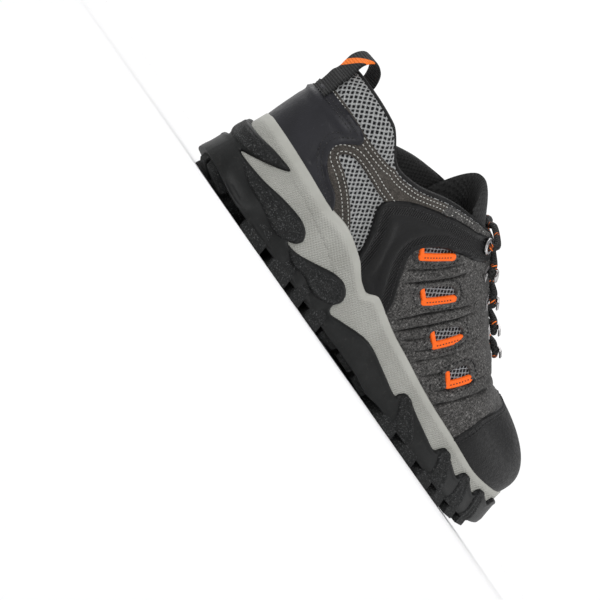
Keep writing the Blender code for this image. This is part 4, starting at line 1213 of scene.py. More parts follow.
# ---- Where things are on the upper ---------------------------------------------------------------------
# How far the foam's top edge leaves its plain height, at each x.
EDGE_DIP = smooth(
    (-8, 1.0), (16, 0.0), (36, -0.5), (55, 2.0), (76, -0.8), (90, -5.5), (95, -5.8), (103, 0.0),
    (125, -0.5), (144, 0.0),
)
# Outlines from the side, as (x, z).
COUNTER = [
    (48, 28), (45, 41), (37, 49), (25, 52.5), (18.5, 57), (16, 63.5), (19, 70), (22.5, 75), (19.5, 78.6),
    (12, 79.4),
    (4, 78.8), (-12, 78.6),
]
SADDLE = [
    (79, 28), (76, 40), (68, 53), (58.5, 63), (57.5, 70), (66, 79.5), (79, 87.5), (95, 95.5),
    (112, 101.5), (123, 105),
    (131, 103), (133.5, 97), (126, 92), (112, 86), (101, 79.5), (94.5, 72), (93, 65.5), (97, 58.5),
    (105, 49.5),
    (112, 41), (114.5, 28),
]
MESH_WINDOW = [
    (20.5, 62.5), (25, 68), (36, 69), (48, 68.6), (66, 67.5), (80, 55), (84, 36), (76, 33), (62, 42),
    (57, 47), (41, 55.5),
    (29, 59.8),
]
BAND_TOP = smooth((-12, 80.6), (8, 80.4), (21, 79.6), (29, 79.8), (41, 81.0), (52, 87), (60, 96), (70, 120))
WINDOW_SEAM = 3.4        # how far outside a window its stitches run
SIDES = ((-1, "outer"), (1, "inner"))
# Each window's corners: the tape runs from the first, round the second, to the third.
WINDOWS = [
    [(94.5, 71.5), (98.5, 69.0), (111.0, 82.5), (104.5, 84.5)],
    [(114.0, 60.0), (121.5, 56.8), (132.0, 70.5), (125.0, 73.5)],
    [(139.5, 51.5), (147.5, 48.4), (155.0, 62.0), (148.0, 64.5)],
    [(166.0, 46.0), (172.0, 42.6), (178.0, 53.5), (171.0, 56.5)],
]
# The vamp's creases, each from the sole up, and how deep each one is.
CREASES = [
    [(98, 57), (109, 70), (122, 88)], [(103, 51), (115, 67), (128, 87)], [(107, 46), (112, 55)],
     [(115, 37), (121, 51)],
    [(119, 36), (130, 57), (147, 80)], [(125, 34), (137, 55), (152, 80)], [(132, 34), (142, 49)],
    [(140, 33), (150, 48), (166, 73)], [(147, 32), (160, 56), (170, 72)], [(158, 32), (165, 45)],
    [(168, 30), (180, 52), (187, 63)], [(176, 28), (187, 50), (195, 60)],
]
CREASE_DEPTHS = [1.0, 1.3, 0.6, 0.7, 1.4, 1.2, 0.7, 1.0, 1.0, 0.7, 0.9, 0.8]


def lip(points):
    """The foam's top edge, level with these points."""
    at = points[..., 0] / LAST_LENGTH
    return edge(at) + np.where(points[..., 1] < 4, EDGE_DIP(points[..., 0]), 0.5 * EDGE_DIP(points[..., 0]))


def side_view(points):
    """Points as (x, z) places."""
    return points[..., [0, 2]]


def window_field(points, window):
    """How far inside a window's rounded outline each place is."""
    return signed(side_view(points), round_through(window, 6))


def behind(x):
    """The stretch round the heel, from x on the inner side to x on the outer side."""
    return ROUNDING.at_x(x, 1) - ROUNDING.total, ROUNDING.at_x(x, -1)


def ahead(x):
    """The stretch round the toe, from x on the outer side to x on the inner side."""
    return ROUNDING.at_x(x, -1), ROUNDING.at_x(x, 1)


def between(low, high, side):
    """The stretch of one side between two x."""
    return sorted(ROUNDING.at_x(x, side) for x in (low, high))


def cap_bow(points):
    """How far the toe cap's rear edge bows forward at each place."""
    y = np.clip((points[..., 1] - 2) / BALL_WIDTH, -0.5, 0.5)
    return 0.105 * LAST_LENGTH * np.cos(y * pi)


def rolled_rim(depth, sunk, at, width):
    """A layer's rim: a low roll along its edge, and a shallow channel inside that."""
    return 0.45 * bell(depth - 1.1, 0.8) - sunk * bell(depth - at, width)


def to_edge(points, a, v):
    """How far under the collar's or the throat's edge each place is, in mm."""
    s, *_, top = ROUNDING.read(a)
    gap = np.linalg.norm(points - skin(a, top), axis=-1)
    return np.where(s < 0.45, np.where(v > top, -gap, gap), 99.0)


def throat_line():
    """The throat's outline from above, from its top on the outer side round its front end."""
    s = np.r_[np.linspace(0.36, 0.69, 60), THROAT_END - 0.015 * np.linspace(1, 0, 30) ** 2]
    half = throat_half(s)
    outer = np.c_[s * LAST_LENGTH, centre(s) - half]
    inner = np.c_[s * LAST_LENGTH, centre(s) + half]
    return np.vstack([outer, inner[::-1]])


THROAT = throat_line()


def on_upper(points, a, v):
    """How far inside the collar's and the throat's edges each place is, in mm."""
    out = -signed(points[..., :2], THROAT)
    return np.minimum(to_edge(points, a, v), np.where(points[..., 2] > 50, out * 1.15, 99.0))


def skin_grid(start, end, cell, low=9.0, top=1.0):
    """A grid of (a, v) on the skin: a from start to end, v from under the foam's edge to the top."""
    a = np.arange(start, end + cell, cell)
    s, at, *_, crest = ROUNDING.read(a)
    bottom = v_at(a, edge(at) - low)
    v_end = np.minimum(crest + 0.01, top)
    rows = int(np.max(girth(a, v_end)) / cell)
    t = np.linspace(0, 1, rows)[:, None]
    return np.broadcast_to(a, (rows, len(a))).copy(), bottom + (v_end - bottom) * t


# ---- The upper's pieces --------------------------------------------------------------------------------
def upper_body(finishes):
    """The knitted body with its padded collar, lined inside."""
    p = ROUNDING.p
    a, crest = ROUNDING.a[:-1], ROUNDING.columns[7][:-1]
    rows = 46
    t = np.linspace(0, 1, rows)[:, None]
    v = -1 + t * (crest + 1)
    a_grid = np.broadcast_to(a, v.shape)
    face, out = skin(a_grid, v), skin_normals(a_grid, v)
    down = np.linalg.norm(face - face[-1], axis=-1)
    open_ = is_open(p)
    x, z = face[..., 0], face[..., 2]
    zone = np.maximum(collar(p.at) - BAND_TOP(p.at * LAST_LENGTH), 2.5)
    puff = 2.0 * np.sin(pi * np.clip(down / zone, 0, 1)) ** 0.8 * np.clip(zone / 11, 0, 1)
    puff = puff * open_ * fall(x, 78, 14)      # only round the heel: in front of it the collar lies flat
    hollow = 0.5 * np.clip(signed(side_view(face), MESH_WINDOW) / 3, 0, 1)
    outer = face + out * (puff - hollow)[..., None]
    pad = np.clip(1 - down / PAD_DROP, 0, 1)
    fade = np.clip((THROAT_TOP - 0.05 - p.at) / 0.06, 0, 1) * open_
    thick = UPPER_WALL + COLLAR_PAD * fade * pad**0.6 * (1 - 0.35 * pad)
    inner = face - out * thick[..., None]
    inner[..., 2] = np.maximum(inner[..., 2], outer[0, :, 2])
    up = unit(face[-1] - face[-2])
    middle, half = (outer[-1] + inner[-1]) / 2, (outer[-1] - inner[-1]) / 2
    crown = up * (0.42 * thick[-1] * open_)[:, None]
    arc = [middle + half * cos(q) + crown * sin(q) for q in np.arange(1, 5) / 5 * pi]
    rings = np.concatenate([outer, arc, inner[::-1], outer[:1]])
    count = p.count
    faces = grid_faces(len(rings), count, around=True)
    row, column = faces[:, 0] // count, faces[:, 0] % count
    gate = open_ | np.roll(open_, -1)
    keep = ~((row >= rows - 1) & (row < rows + 4)) | gate[column]
    faces, row = faces[keep], row[keep]
    x_of = rings.reshape(-1, 3)[faces[:, 0], 0]
    pick = np.where(row >= rows - 1, 2, np.where(x_of > 86, 1, 0))
    high = girth(a_grid, v)
    over = np.broadcast_to(high[-1], (4, count)) + np.arange(1, 5)[:, None]
    spread_v = np.concatenate([high, over, high[::-1], high[:1]])
    flat = np.stack([np.broadcast_to(a, spread_v.shape), spread_v], axis=-1).reshape(-1, 2)
    points = rings.reshape(-1, 3)
    mesh("upper_body", points, faces.tolist(), finishes, ["upper"], flat, pick=pick, sharp=70)


def edge_points(offset_in, offset_up):
    """The collar's and the throat's edge, once round, from the throat's front on the inner side."""
    p = ROUNDING.p
    a, crest = ROUNDING.a[:-1], ROUNDING.columns[7][:-1]
    face, out = skin(a, crest), skin_normals(a, crest)
    up = unit(face - skin(a, crest - 0.03))
    line = face - out * offset_in + up * offset_up
    open_ = np.where(is_open(p))[0]
    split = np.where(np.diff(open_) > 1)[0][0] + 1
    order = np.r_[open_[split:], open_[:split]]
    return line[order]


def resampled(line, gap):
    """A line's points again, evenly spaced, about gap mm apart."""
    size = travelled(line)
    at = np.linspace(0, size[-1], int(size[-1] / gap) + 1)
    return np.stack([np.interp(at, size, column) for column in line.T], axis=1)


def vamp(finish, threads):
    """The forefoot's suede: windows cut out of it, and soft creases from the sole up to the lacing."""
    a, v = skin_grid(*ahead(80), 0.78)

    def measure(a, v):
        q = skin(a, v)
        field = np.minimum(q[..., 0] - 84, on_upper(q, a, v) - 0.6)
        # It runs 7 mm on under the toe cap.
        field = np.minimum(field, 0.710 * LAST_LENGTH + cap_bow(q) + 7 - q[..., 0])
        for window in WINDOWS:
            field = np.minimum(field, -window_field(q, window))
        return field

    def relief(q, f, a, v):
        flat = side_view(q)
        total = np.zeros(len(q))
        inner = q[:, 1] > 2
        for line, depth in zip(CREASES, CREASE_DEPTHS):
            line = np.array(line, float)
            here = flat - np.where(inner, 1, 0)[:, None] * [3.5 if depth > 0.9 else -2.0, 0]
            d, share = from_line(here, round_through(line, 5, closed=False))
            fade = np.clip(np.minimum(share, 1 - share) / 0.16 + 0.15, 0, 1)
            total -= 1.1 * depth * fade * bell(d, 1.1)
            total += 0.65 * depth * fade * bell(d - 3.2, 2.2)
        for window in WINDOWS:
            ring = window_field(q, window)
            total -= 0.4 * bell(ring + WINDOW_SEAM, 0.75)
        for x0, depth in ((209, 0.7), (216, 0.5)):
            bow = q[:, 0] - x0 + 0.012 * q[:, 1] ** 2
            total -= depth * bell(bow, 1.8) * climb(q[:, 2], 40, 15)
        total += 0.28 * np.sin(q[:, 0] * 0.37 + 0.05 * q[:, 2]) * np.sin(q[:, 2] * 0.21 + 0.11 * q[:, 0])
        return np.maximum(total, -1.25)

    def extra(q, a, v):
        total = relief(q, None, a, v)
        # sunk: how far the relief sinks the suede, read by the suede's painted shade in its creases and
        # seams.
        return {"sunk": np.clip(-total / 1.05, 0, 1)}

    patch("vamp", a, v, measure, 1.0, finish, 0.4, relief, replaces=["upper"], extra=extra)

    def raised(spot):
        """The stitches follow the creases, a little over the suede."""
        return 1.88 + float(relief(spot[None], None, None, None)[0])

    q = skin(a, v)
    for side in (-1, 1):
        for window in WINDOWS:
            ring = window_field(q, window)
            ring = np.where(q[..., 1] * side > 0, ring, -99)
            threads.rows(a, v, ring, [-WINDOW_SEAM], raised, gap=2.4, length=1.5, radius=0.45)


def window_tapes(finish, threads):
    """The orange tape along each window's front and lower edge."""
    for side, word in SIDES:
        for k, window in enumerate(WINDOWS):
            corners = np.array(window)
            low, high = corners.min(axis=0) - 4, corners.max(axis=0) + 4
            a = np.arange(*between(low[0], high[0], side), 0.5)
            middle = v_at(a, np.full(len(a), low[1])), v_at(a, np.full(len(a), high[1]))
            t = np.linspace(0, 1, int((high[1] - low[1]) / 0.5))[:, None]
            a_grid, v = np.broadcast_to(a, (len(t), len(a))).copy(), middle[0] + (middle[1] - middle[0]) * t

            def measure(a, v):
                flat = side_view(skin(a, v))
                long_, _ = from_line(flat, corners[1:3])
                short, _ = from_line(flat, corners[:2])
                return np.maximum(2.1 - long_, 1.3 - short)

            patch(f"{word}_tape_{k + 1}", a_grid, v, measure, 0.8, finish, 1.0, rounding=0.6)
            along = corners[1:3] + (corners[2] - corners[1]) * [[0.04], [-0.04]]
            line = along[0] + (along[1] - along[0]) * np.linspace(0, 1, 24)[:, None]
            a_line = np.array([ROUNDING.at_x(x, side) for x in line[:, 0]])
            places = np.c_[a_line, v_at(a_line, line[:, 1])]
            threads.row(places, 1.85, gap=1.7, length=1.0, radius=0.36)


def quarter_band(finish, threads):
    """The suede under the collar, and its branch down the front of the counter, round the mesh."""
    a, v = skin_grid(*behind(134), 0.9)
    window = round_through(MESH_WINDOW, 5)

    def measure(a, v):
        q = skin(a, v)
        x = q[..., 0]
        field = np.minimum(BAND_TOP(x) - q[..., 2], on_upper(q, a, v) - 0.8)
        field = np.minimum(field, -signed(side_view(q), window))
        # In front of the saddle the vamp takes over.
        above = q[..., 2] - 86 - 0.40 * (x - 88)
        return np.minimum(field, np.minimum(130 - x, np.maximum(88 - x, above)))

    patch("collar_band", a, v, measure, 1.0, finish, 0.1)
    q = skin(a, v)
    ring = -signed(side_view(q), window)

    def shown(points):
        """Behind the saddle, and off the counter."""
        return (points[:, 0] < 66) & (signed(side_view(points), round_through(COUNTER, 4)) < 1.0)

    def on(points):
        """Off the saddle."""
        return signed(side_view(points), round_through(SADDLE, 4)) < -0.8

    size = {"gap": 2.3, "length": 1.3, "radius": 0.3}
    threads.rows(a, v, ring, (1.4, 4.4), 1.25, keep=shown, **size)
    top = np.minimum(BAND_TOP(q[..., 0]) - q[..., 2], on_upper(q, a, v) - 0.8)
    threads.rows(a, v, top, (1.5, 4.0), 1.25, keep=on, **size)


def heel_counter(finish, threads):
    """The embossed counter round the heel."""
    a, v = skin_grid(*behind(50), 0.8)
    outline = [*round_through(COUNTER, 6, closed=False), (-30, 78.6), (-30, 20), (48, 20)]

    def measure(a, v):
        return signed(side_view(skin(a, v)), outline)

    def relief(q, f, a, v):
        flat = side_view(q)
        roll = rolled_rim(f, 0.25, 4.0, 2.0)
        bow, _ = from_line(flat, round_through([(-12, 67), (-3, 69), (6, 71.5), (14, 72.5)], 5, closed=False))
        roll += 1.0 * bell(bow, 1.4) - 0.4 * bell(bow - 2.8, 1.2)
        fin, _ = from_line(flat, [(15, 49), (12.5, 57), (24, 50.5)])
        return roll - 0.75 * bell(fin, 0.9)

    patch("counter", a, v, measure, 1.5, finish, 0.7, relief,
          replaces=["heel_counter"], rounding=1.2)
    threads.rows(a, v, measure(a, v), (2.9, 5.0), 2.0, gap=2.3, length=1.5, radius=0.32)


def saddles(finish, threads):
    """The two saddles: stepped between their ridges, and finely ribbed along their edges."""
    outline = round_through(SADDLE, 6)
    for side, word in SIDES:
        a, v = skin_grid(*between(54, 137, side), 0.8)

        def measure(a, v):
            q = skin(a, v)
            return np.minimum(signed(side_view(q), outline), on_upper(q, a, v) - 2.2)

        def relief(q, f, a, v):
            roll = rolled_rim(f, 0.2, 3.0, 1.2)
            low = climb(q[:, 2], 34, 12) * fall(q[:, 2], 104, 10)
            for depth, height in ((7.5, 0.8), (12.5, -0.7)):
                roll += low * height / (1 + np.exp(-(f - depth) / 0.5))
            return roll

        def extra(q, a, v):
            f = measure(a, v)
            return {"ribbed": climb(f, 3.4, 0.6) * fall(f, 7.4, 0.8)}

        patch(f"{word}_saddle_skin", a, v, measure, 1.3, finish, 0.7, relief,
              replaces=[f"{word}_saddle"], rounding=1.2, extra=extra)
        threads.rows(a, v, measure(a, v), [2.9], 1.95, gap=2.3, length=1.4, radius=0.3)


def toe_cap(finish, threads):
    """The toe cap, with its double seam."""
    a, v = skin_grid(*ahead(196), 0.85)

    def measure(a, v):
        q = skin(a, v)
        flat_out = q[..., 0] - 0.700 * LAST_LENGTH - cap_bow(q)
        # The rear edge also leans: it stands a little further forward as it climbs the sides.
        return flat_out - 0.10 * (q[..., 2] - 30)

    def relief(q, f, a, v):
        return rolled_rim(f, 0.22, 3.6, 2.0)

    patch("toe_bumper", a, v, measure, 1.4, finish, 0.7, relief,
          replaces=["toe_cap"], rounding=1.2)
    threads.rows(a, v, measure(a, v), (2.7, 4.7), 2.0, gap=2.3, length=1.5, radius=0.32)


def tongue(finish):
    """The padded tongue: crowned between its edges, and rounded over at its top."""
    p = THROAT_PLANES
    stations = np.linspace(THROAT_TOP - 0.065, THROAT_END + 0.045, 70)
    across = np.sin(np.linspace(-1, 1, 33) * pi / 2)
    rings, flat = [], []
    for k, s in enumerate(stations):
        widths = (THROAT_HALF + 5, THROAT_HALF + 7, 19)
        half = np.interp(s, (stations[0], THROAT_TOP, stations[-1]), widths) - 0.3
        thick = np.interp(s, (stations[0], THROAT_TOP - 0.03, 0.62, stations[-1]), (5.0, 6.0, 4.5, 2.0))
        crown = np.sqrt(1 - (1 - min(k / 6, 1)) ** 2) * 0.96 + 0.04
        rib = 0.5 * bell((k % 12) - 6, 1.4) if 12 < k < 60 else 0
        lift = UPPER_WALL + 3 * GAP
        over, under = [], []
        for y in across:
            soft = np.sqrt(max(1 - abs(y) ** 5, 0.0))
            puff = thick * crown * soft
            over.append(section(p, s, y * half, lift + 0.5 * thick - 0.5 * puff + 0.25 * rib * soft))
            under.append(section(p, s, y * half, lift + 0.5 * thick + 0.5 * puff))
        rings.append(np.array(over + under[::-1]))
        flat += [(s * LAST_LENGTH, y * half) for y in [*across, *across[::-1]]]
    rings = np.array(rings)
    count = rings.shape[1]
    faces = [f[::-1] for f in grid_faces(len(rings), count, around=True).tolist()]
    faces += tied(0, count, 0, False) + tied((len(rings) - 1) * count, count, 0, True)
    points = rings.reshape(-1, 3)
    made = mesh("tongue_pad", points, faces, finish, ["tongue"], flat, sharp=75, weld=0.02)


def footbed(finish):
    """The insole, its edge rounded and its heel a little cupped."""
    p = ROUNDING.p
    under, over = bed(p.at) + GAP, bed(p.at) + 4.5
    inside = upper_reach(p, under) - UPPER_WALL - 2 * GAP
    rings = [p.points(inside, under), p.points(inside, over - 1.2)]
    rings += [p.points(inside - 0.5, over - 0.4), p.points(inside - 1.4, over)]
    for share in (0.85, 0.6, 0.35, 0.12):
        cup = (1 - share) ** 2 * np.clip(1 - p.s / 0.3, 0, 1)
        rings.append(p.points((inside - 1.4) * share, over - cup))
    rings = np.array(rings)
    faces = grid_faces(len(rings), p.count, around=True).tolist()
    last = (len(rings) - 1) * p.count
    faces.append([last + i for i in range(p.count)])
    flat = rings.reshape(-1, 3)[:, :2]
    mesh("footbed", rings.reshape(-1, 3), faces, finish, ["insole"], flat, sharp=60)


# ---- Lacing --------------------------------------------------------------------------------------------
def laces(finish):
    """Two strands from the top eyelets down over the hooks, each passing over the other in turn."""
    p = THROAT_PLANES
    hooks = {}
    for k, s in enumerate(np.linspace(HOOKS_FROM, HOOKS_TO, HOOK_PAIRS)):
        for side in (-1, 1):
            hooks[k, side] = Seat(p, s, side)
    beside = NECK + LACE_RADIUS + LACE_CLEAR
    past = beside + 0.6
    points, faces, flat = [], [], []
    for strand, side in enumerate((-1, 1)):
        top = Seat(p, THROAT_TOP + 0.002, side)
        line = [top.at(0, EYELET_DOWN, 1.5), top.at(0, EYELET_DOWN, 3.6), top.at(0.3, EYELET_DOWN - 0.3, 5.4)]
        line.append(top.at(1.2, -1.5, 6.6))
        before, y = top.s + 0.006, side * (throat_half(top.s) - 1)

        def crossing(start, end, over, steps):
            for t in steps:
                s, at_y = (start[i] + (end[i] - start[i]) * t for i in (0, 1))
                hump = bell(at_y, 6.0) * (2.3 if over else -0.4)
                line.append(section(p, s, at_y, lace_depth(s, at_y) - hump))

        for k in range(HOOK_PAIRS):
            turn = side * (-1) ** (k + 1)
            seat = hooks[k, turn]
            near = turn * (throat_half(seat.s) - 1)
            step = beside / LAST_LENGTH
            steps = (0.15, 0.3, 0.42, 0.5, 0.58, 0.7, 0.85)
            crossing((before, y), (seat.s - step, near), (k + strand) % 2 == 0, steps)
            for along, down in ((-1, -1.2), (-0.75, 0.66 * past), (0, past), (0.75, 0.66 * past), (1, -1.2)):
                line.append(seat.at(along * beside, down, LACE_RISE))
            before, y = seat.s + step, near
        end_y = 0.0
        crossing((before, y), (before + 0.004, end_y), strand == 0, (0.33, 0.67, 1.0))
        if strand == 0:
            crossing((before + 0.004, end_y), (before, -y), True, (0.33, 0.67))
            line.append(hooks[HOOK_PAIRS - 1, -turn].at(beside, -1.2, LACE_RISE))
        else:
            line = line[:-3]
        even = resampled(round_through(line, 7, closed=False), 0.9)
        tube, quads, spread = pipe(even, LACE_RADIUS * 0.98)
        shift = sum(len(x) for x in points)
        faces += [[shift + i for i in f] for f in quads]
        points.append(tube)
        flat.append(spread)
    mesh("lacing", np.vstack(points), faces, finish, ["lace"], np.vstack(flat), sharp=70)


def heel_loop(finish):
    """The webbing loop, its edges rounded, with a slanting stripe on its outer leg."""
    back = -(GAP + OVERLAY) - 1.6
    # Its outer end is sewn under the counter's top edge and lies on the padded collar above it.
    z = COLLAR_BACK - np.array([21.0, 17.0, 13.0, 9.0, 5.0])
    puff = 2.0 * np.sin(pi * np.clip((COLLAR_BACK - z) / (COLLAR_BACK - BAND_TOP(0.0)), 0, 1)) ** 0.8
    skin_x = skin(np.zeros(5), v_at(np.zeros(5), z))[:, 0]
    up_the_collar = np.c_[skin_x - puff - 1.15, z]
    line = round_through([
        *up_the_collar, (back + 1.6, COLLAR_BACK + 4),
        (back + 5.0, COLLAR_BACK + LOOP_RISE), (back + 12.0, COLLAR_BACK + LOOP_RISE - 1),
        (back + 16.5, COLLAR_BACK + 3), (back + 17.5, COLLAR_BACK - 5),
    ], 10, closed=False)
    way = unit(np.gradient(line, axis=0))
    off = np.c_[-way[:, 1], way[:, 0]]
    turn = np.arange(28) / 28 * tau
    wide = np.sign(np.cos(turn)) * np.abs(np.cos(turn)) ** 0.25 * (LOOP_WIDTH / 2 - 0.1)
    high = np.sign(np.sin(turn)) * np.abs(np.sin(turn)) ** 0.7 * WEBBING / 2
    size = travelled(line)
    points, flat = [], []
    for (x, z), (ox, oz), along in zip(line, off, size):
        for w, h in zip(wide, high):
            points.append((x + ox * h, w, z + oz * h))
            flat.append((along, w))
    faces = [f[::-1] for f in tube_faces(len(line), len(turn))]
    mesh("heel_loop", points, faces, finish, ["pull_loop"], flat, sharp=60)


# ---- The sole ------------------------------------------------------------------------------------------
def midsole(finish):
    """The foam: a rounded lip round the upper, moulded ribs, and a fine parting line."""
    p = ROUNDING.p
    a = ROUNDING.a[:-1]
    low = base(p.at) + PLATE + GAP
    tip = np.c_[p.at * LAST_LENGTH, p.tip[:, 1], 0 * p.at]
    rim = lip(tip)
    face = wall_face(0.7)
    rows = 40
    t = np.linspace(0, 1, rows)[:, None]
    z = low + (rim - 1.0 - low) * t
    grid = np.broadcast_to(a, z.shape)
    outer, out = face(grid, z), normals_of(face)(grid, z)
    part_z = np.interp(p.at * LAST_LENGTH, (-9, 12, 30, 60, 80, 110, 300), (40, 36, 35, 30, 24, 26, 20))
    part = bell(z - part_z, 0.55) * (grid > 0)
    x = outer[..., 0]
    window = climb(x, 8, 6) * fall(x, 92, 8)
    nubs = bell(z - part_z - 0.4, 0.8) * (np.cos(x * tau / 3.4) > 0.2) * fall(x, 58, 3)
    nubs *= climb(x, 14, 3)
    outer = outer + out * (-0.45 * part * window + 0.5 * nubs)[..., None]
    rings = list(outer)
    at_top = skin(a, v_at(a, rim))
    over = face(a, rim)
    lip_line = ((0.93, -0.55), (0.75, -0.12), (0.45, 0.05), (0.15, -0.05), (-0.25, -0.9), (-0.25, -4.0))
    for share, rise in lip_line:
        q = at_top + (over - at_top) * share
        rings.append(np.c_[q[:, :2], rim + rise])
    rings = np.array(rings)
    faces = grid_faces(len(rings), p.count, around=True).tolist()
    faces.append([i for i in range(p.count)][::-1])
    heights = np.r_[z, np.repeat(z[-1:] + 1, 6, axis=0)]
    flat = np.stack([np.broadcast_to(a, heights.shape), heights], axis=-1).reshape(-1, 2)
    # The mask for the painted shade along the parting line's groove.
    groove_shade = np.zeros(heights.shape)
    groove_shade[:rows] = 0.7 * part * window
    ribbed = np.zeros(heights.shape)
    ribbed[:rows] = climb(t, 0.04, 0.1) * fall(t, 0.93, 0.1) * np.ones_like(z)
    marks = {"groove_shade": groove_shade, "ribbed": ribbed, "rim": heights - low}
    mesh("midsole_foam", rings.reshape(-1, 3), faces, finish, ["midsole"], flat, marks, sharp=60)


# The wrap's upper edge as (x, z): two scooped waves at the heel, a low band, then the claws' tops to the toe.
WRAP_OUTER = [
    (-30, 34.0), (-6, 34.5), (3, 37.0), (11, 38.0), (12, 36.6), (6, 31.0), (0.5, 26.2), (-2.5, 22.5),
    (8, 23.6), (20, 26.6),
    (33, 28.0), (41, 26.4), (44.5, 22.5), (43, 18.4), (38.5, 15.4), (48, 16.4), (60, 21.0), (72, 26.0),
    (81, 27.6),
    (87.5, 25.0), (89.5, 20.4), (87.5, 15.4), (91, 12.6), (100, 15.4), (119, 20.6), (140, 18.0),
    (154.5, 15.6), (156.5, 18.0),
    (159, 21.0), (163, 21.6), (172, 19.6), (185, 17.4), (196, 16.0), (198.5, 18.6), (201, 21.8),
    (205, 22.0), (214, 19.6),
    (222, 18.0), (224, 21.0), (226.5, 23.4), (231, 23.2), (243, 20.0), (245, 22.4), (248, 25.2),
    (254, 25.2), (264, 23.6),
    (266, 26.4), (270, 28.4), (287, 28.6), (310, 31.0),
]
# Raised shapes on the wrap: four claws beside the forefoot, and three pads round the heel.
CLAWS = [
    [(157, 17.5), (160, 21.0), (165, 21.2), (176, 14.5), (182, 8.5), (178, 3.0), (163, 2.6), (165, 8.0),
     (162, 13.0)],
    [(199, 18.5), (202, 22.0), (207, 21.8), (215, 15.0), (220, 9.0), (216, 3.0), (203, 2.6), (205, 8.0),
     (203, 13.5)],
    [(224.5, 21), (227, 23.6), (232, 23.2), (239, 16.0), (242, 10.0), (238, 4.0), (226, 3.0), (229, 8.5),
     (228, 15.0)],
    [(245.5, 22.6), (248, 25.4), (253, 25.2), (259, 18.0), (261, 12.0), (257, 5.0), (246, 4.0),
     (250, 10.0), (249, 16.0)],
]
PADS = [
    [(-2, 21.0), (8, 22.0), (20, 25.0), (32, 26.4), (39.5, 24.8), (42, 21.5), (39, 17.2), (30, 13.5),
     (14, 15.5), (4, 17.0)],
    [(42, 14.5), (58, 18.6), (71, 24.0), (80, 25.6), (85.5, 23.6), (87, 20.4), (84, 15.0), (74, 11.5),
     (60, 12.5), (50, 11.5)],
    [(-24, 32.7), (-14, 32.8), (-5, 33.2), (3, 35.2), (9, 36.4), (4, 31.0), (-3, 26.0), (-9, 22.0),
     (-14, 21.0), (-24, 20.8)],
]
# Each scoop's middle (x, z), and its reach along x and z.
SCOOPS = [
    (27, 9.0, 7.0, 5.5), (52, 8.0, 6.0, 5.0), (70, 8.2, 5.5, 4.6), (88, 7.0, 4.0, 4.0), (6, 12.0, 6.0, 5.0),
]


def wall_grid(start, end, cell):
    """A grid of (a, z) on the sole's side, from the tread to over the foam's edge."""
    a = np.arange(start, end + cell, cell)
    _, at, *_ = ROUNDING.read(a)
    low, high = base(at) + 0.4, edge(at) + 3.0
    rows = int(np.max(high - low) / cell)
    t = np.linspace(0, 1, rows)[:, None]
    return np.broadcast_to(a, (rows, len(a))).copy(), low + (high - low) * t


def outsole(finish):
    """The rubber: its wrap with waves, claws and scoops up the sides, the plate, and the lugs."""
    face = wall_face(GAP)
    outline = [*round_through(WRAP_OUTER, 4, closed=False), (310, -20), (-30, -20)]

    def shifted(q):
        """The inner side's waves stand a little further forward."""
        flat = side_view(q)
        return flat - np.where(q[..., 1:2] > 2, 4.0, 0.0) * climb(flat[..., :1], 5, 30) * [1, 0]

    def measure(a, z):
        return signed(shifted(face(a, z)), outline)

    def relief(q, f, a, z):
        flat = shifted(q)
        total = np.zeros(len(q))
        for x0, z0, rx, rz in SCOOPS:
            d = ((flat[:, 0] - x0) / rx) ** 2 + ((flat[:, 1] - z0) / rz) ** 2
            total -= 1.9 * np.exp(-(d**1.5))
        total += 0.35 * bell(f - 1.4, 0.9)
        return total

    def extra(q, a, z):
        flat = shifted(q)
        raised = np.zeros(len(q))
        for pad in PADS:
            raised = np.maximum(raised, np.clip(signed(flat, pad) / 1.5 + 0.4, 0, 1))
        return {"raised": np.maximum(raised, 0.25)}

    a, z = wall_grid(0, ROUNDING.total, 0.95)
    patch("outsole_wrap", a, z, measure, WRAP, finish, 0.0, relief, face, sink=0.0, rounding=1.7,
          replaces=["outsole"], extra=extra)
    high_face = wall_face(GAP + WRAP - 0.3)
    for side, word in SIDES:
        for k, claw in enumerate([*CLAWS, *PADS]):
            shift = 4.0 if side > 0 and k < 6 else 0.0
            shape = round_through(np.array(claw) + [shift, 0], 5)
            low_x, high_x = shape[:, 0].min() - 1, shape[:, 0].max() + 1
            if low_x < -9 and side > 0:
                continue
            ends = behind(high_x) if low_x < -9 else between(low_x, high_x, side)
            a, z = wall_grid(*ends, 0.7)
            patch(
                f"{word}_{'claw' if k < len(CLAWS) else 'pad'}_{k + 1}", a, z,
                lambda a, z: signed(side_view(high_face(a, z)), shape), 1.2, finish, 0.0,
                lambda q, f, a, z: -0.5 * bell(f - 3.4, 0.9), high_face, rounding=1.3,
                extra=lambda q, a, z: {"raised": np.ones(len(q))},
            )
    tread_and_lugs(finish)


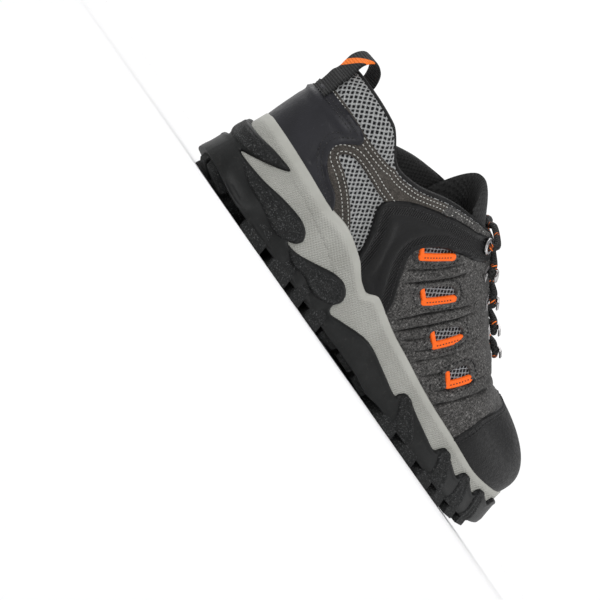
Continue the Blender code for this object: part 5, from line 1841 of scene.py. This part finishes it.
def tread_and_lugs(finish):
    """The plate under the foam, and the bevelled lugs under the plate."""
    p = ROUNDING.p
    low, floor = base(p.at) + PLATE, base(p.at)
    outer = outsole_reach(p, low)
    rings = np.array([
        p.points(outer - into, floor + rise)
        for into, rise in ((2.4, 0), (1.1, 0.25), (0.35, 1.0), (0.1, 2.2), (1.5, 4.0))
    ])
    faces = grid_faces(5, p.count, around=True).tolist()
    faces += tied(0, p.count, 1, False) + tied(4 * p.count, p.count, 1, True)
    marks = {"raised": np.full(5 * p.count, 0.3)}
    mesh("tread_plate", rings.reshape(-1, 3), faces, finish, ["outsole"], None, marks, sharp=50)
    thick = Planes()
    low = base(thick.at) + PLATE
    ring = thick.points(outsole_reach(thick, low), base(thick.at) + 1.6)
    wall = thick.points(outsole_reach(thick, base(thick.at) + BUTTRESS), 0)
    points, faces = [], []
    for block_points, block_faces in lugs(ring, wall):
        faces += [tuple(len(points) + i for i in f) for f in block_faces]
        points += block_points
    marks = {"raised": np.ones(len(points))}
    made = mesh("lug_blocks", points, faces, finish, ["outsole"], None, marks, sharp=30)
    work = bmesh.new()
    work.from_mesh(made.data)
    bmesh.ops.recalc_face_normals(work, faces=work.faces)
    work.to_mesh(made.data)
    work.free()
    bevelled(made, 0.0007, 2, 28)


# ---- Everything ----------------------------------------------------------------------------------------
def build():
    """Makes the finishes, then every piece in turn."""
    camera_and_stage()
    rubber, foam_ = tread_rubber(), foam()
    leather = hide("dark_leather", (0.0042, 0.0042, 0.0045), 0.44, hatch=4.6)
    counter_hide = hide("counter_leather", (0.0125, 0.0125, 0.0155), 0.42)
    cap_hide = hide("cap_leather", (0.0040, 0.0040, 0.0042), 0.5, grain=0.2)
    suede, band = canvas(), band_suede()
    pale_knit = knit("pale_knit", (0.62, 0.63, 0.63), (0.004, 0.004, 0.005), (0.50, 0.66), (3.3, 3.5))
    dark_knit = knit("dark_knit", (0.50, 0.51, 0.53), (0.003, 0.003, 0.004), (0.36, 0.54), (3.0, 3.4))
    inside = lining()
    black_thread = thread("black_thread", (0.006, 0.006, 0.0065))
    pale_thread = thread("pale_thread", (0.52, 0.52, 0.49))
    tape = orange_tape()
    metal = nickel()

    dark, pale = Stitches(), Stitches()
    upper_body([pale_knit, dark_knit, inside])
    vamp(suede, dark)
    quarter_band(band, pale)
    heel_counter(counter_hide, dark)
    saddles(leather, dark)
    toe_cap(cap_hide, dark)
    window_tapes(tape, dark)
    dark.piece("dark_stitches", black_thread)
    pale.piece("pale_stitches", pale_thread)
    line = resampled(edge_points(1.2, 0.25), 1.3)
    points, faces, flat = pipe(line, 1.3, closed=True)
    binding = hide("binding", grey(0.007), 0.8, grain=0.3)
    mesh("edge_binding", points, faces, binding, (), flat, sharp=60)
    tongue(inside)
    footbed(inside)
    laces(braid())
    heel_loop(webbing(24.0, 0.75))
    midsole(foam_)
    outsole(rubber)
    for name, obj in ((n, bpy.data.objects[n]) for n in frame["nodes"] if "hook" in n or "eyelet" in n):
        obj.data.materials.clear()
        obj.data.materials.append(metal)
        bevelled(obj, 0.0004, 3, 25)


build()
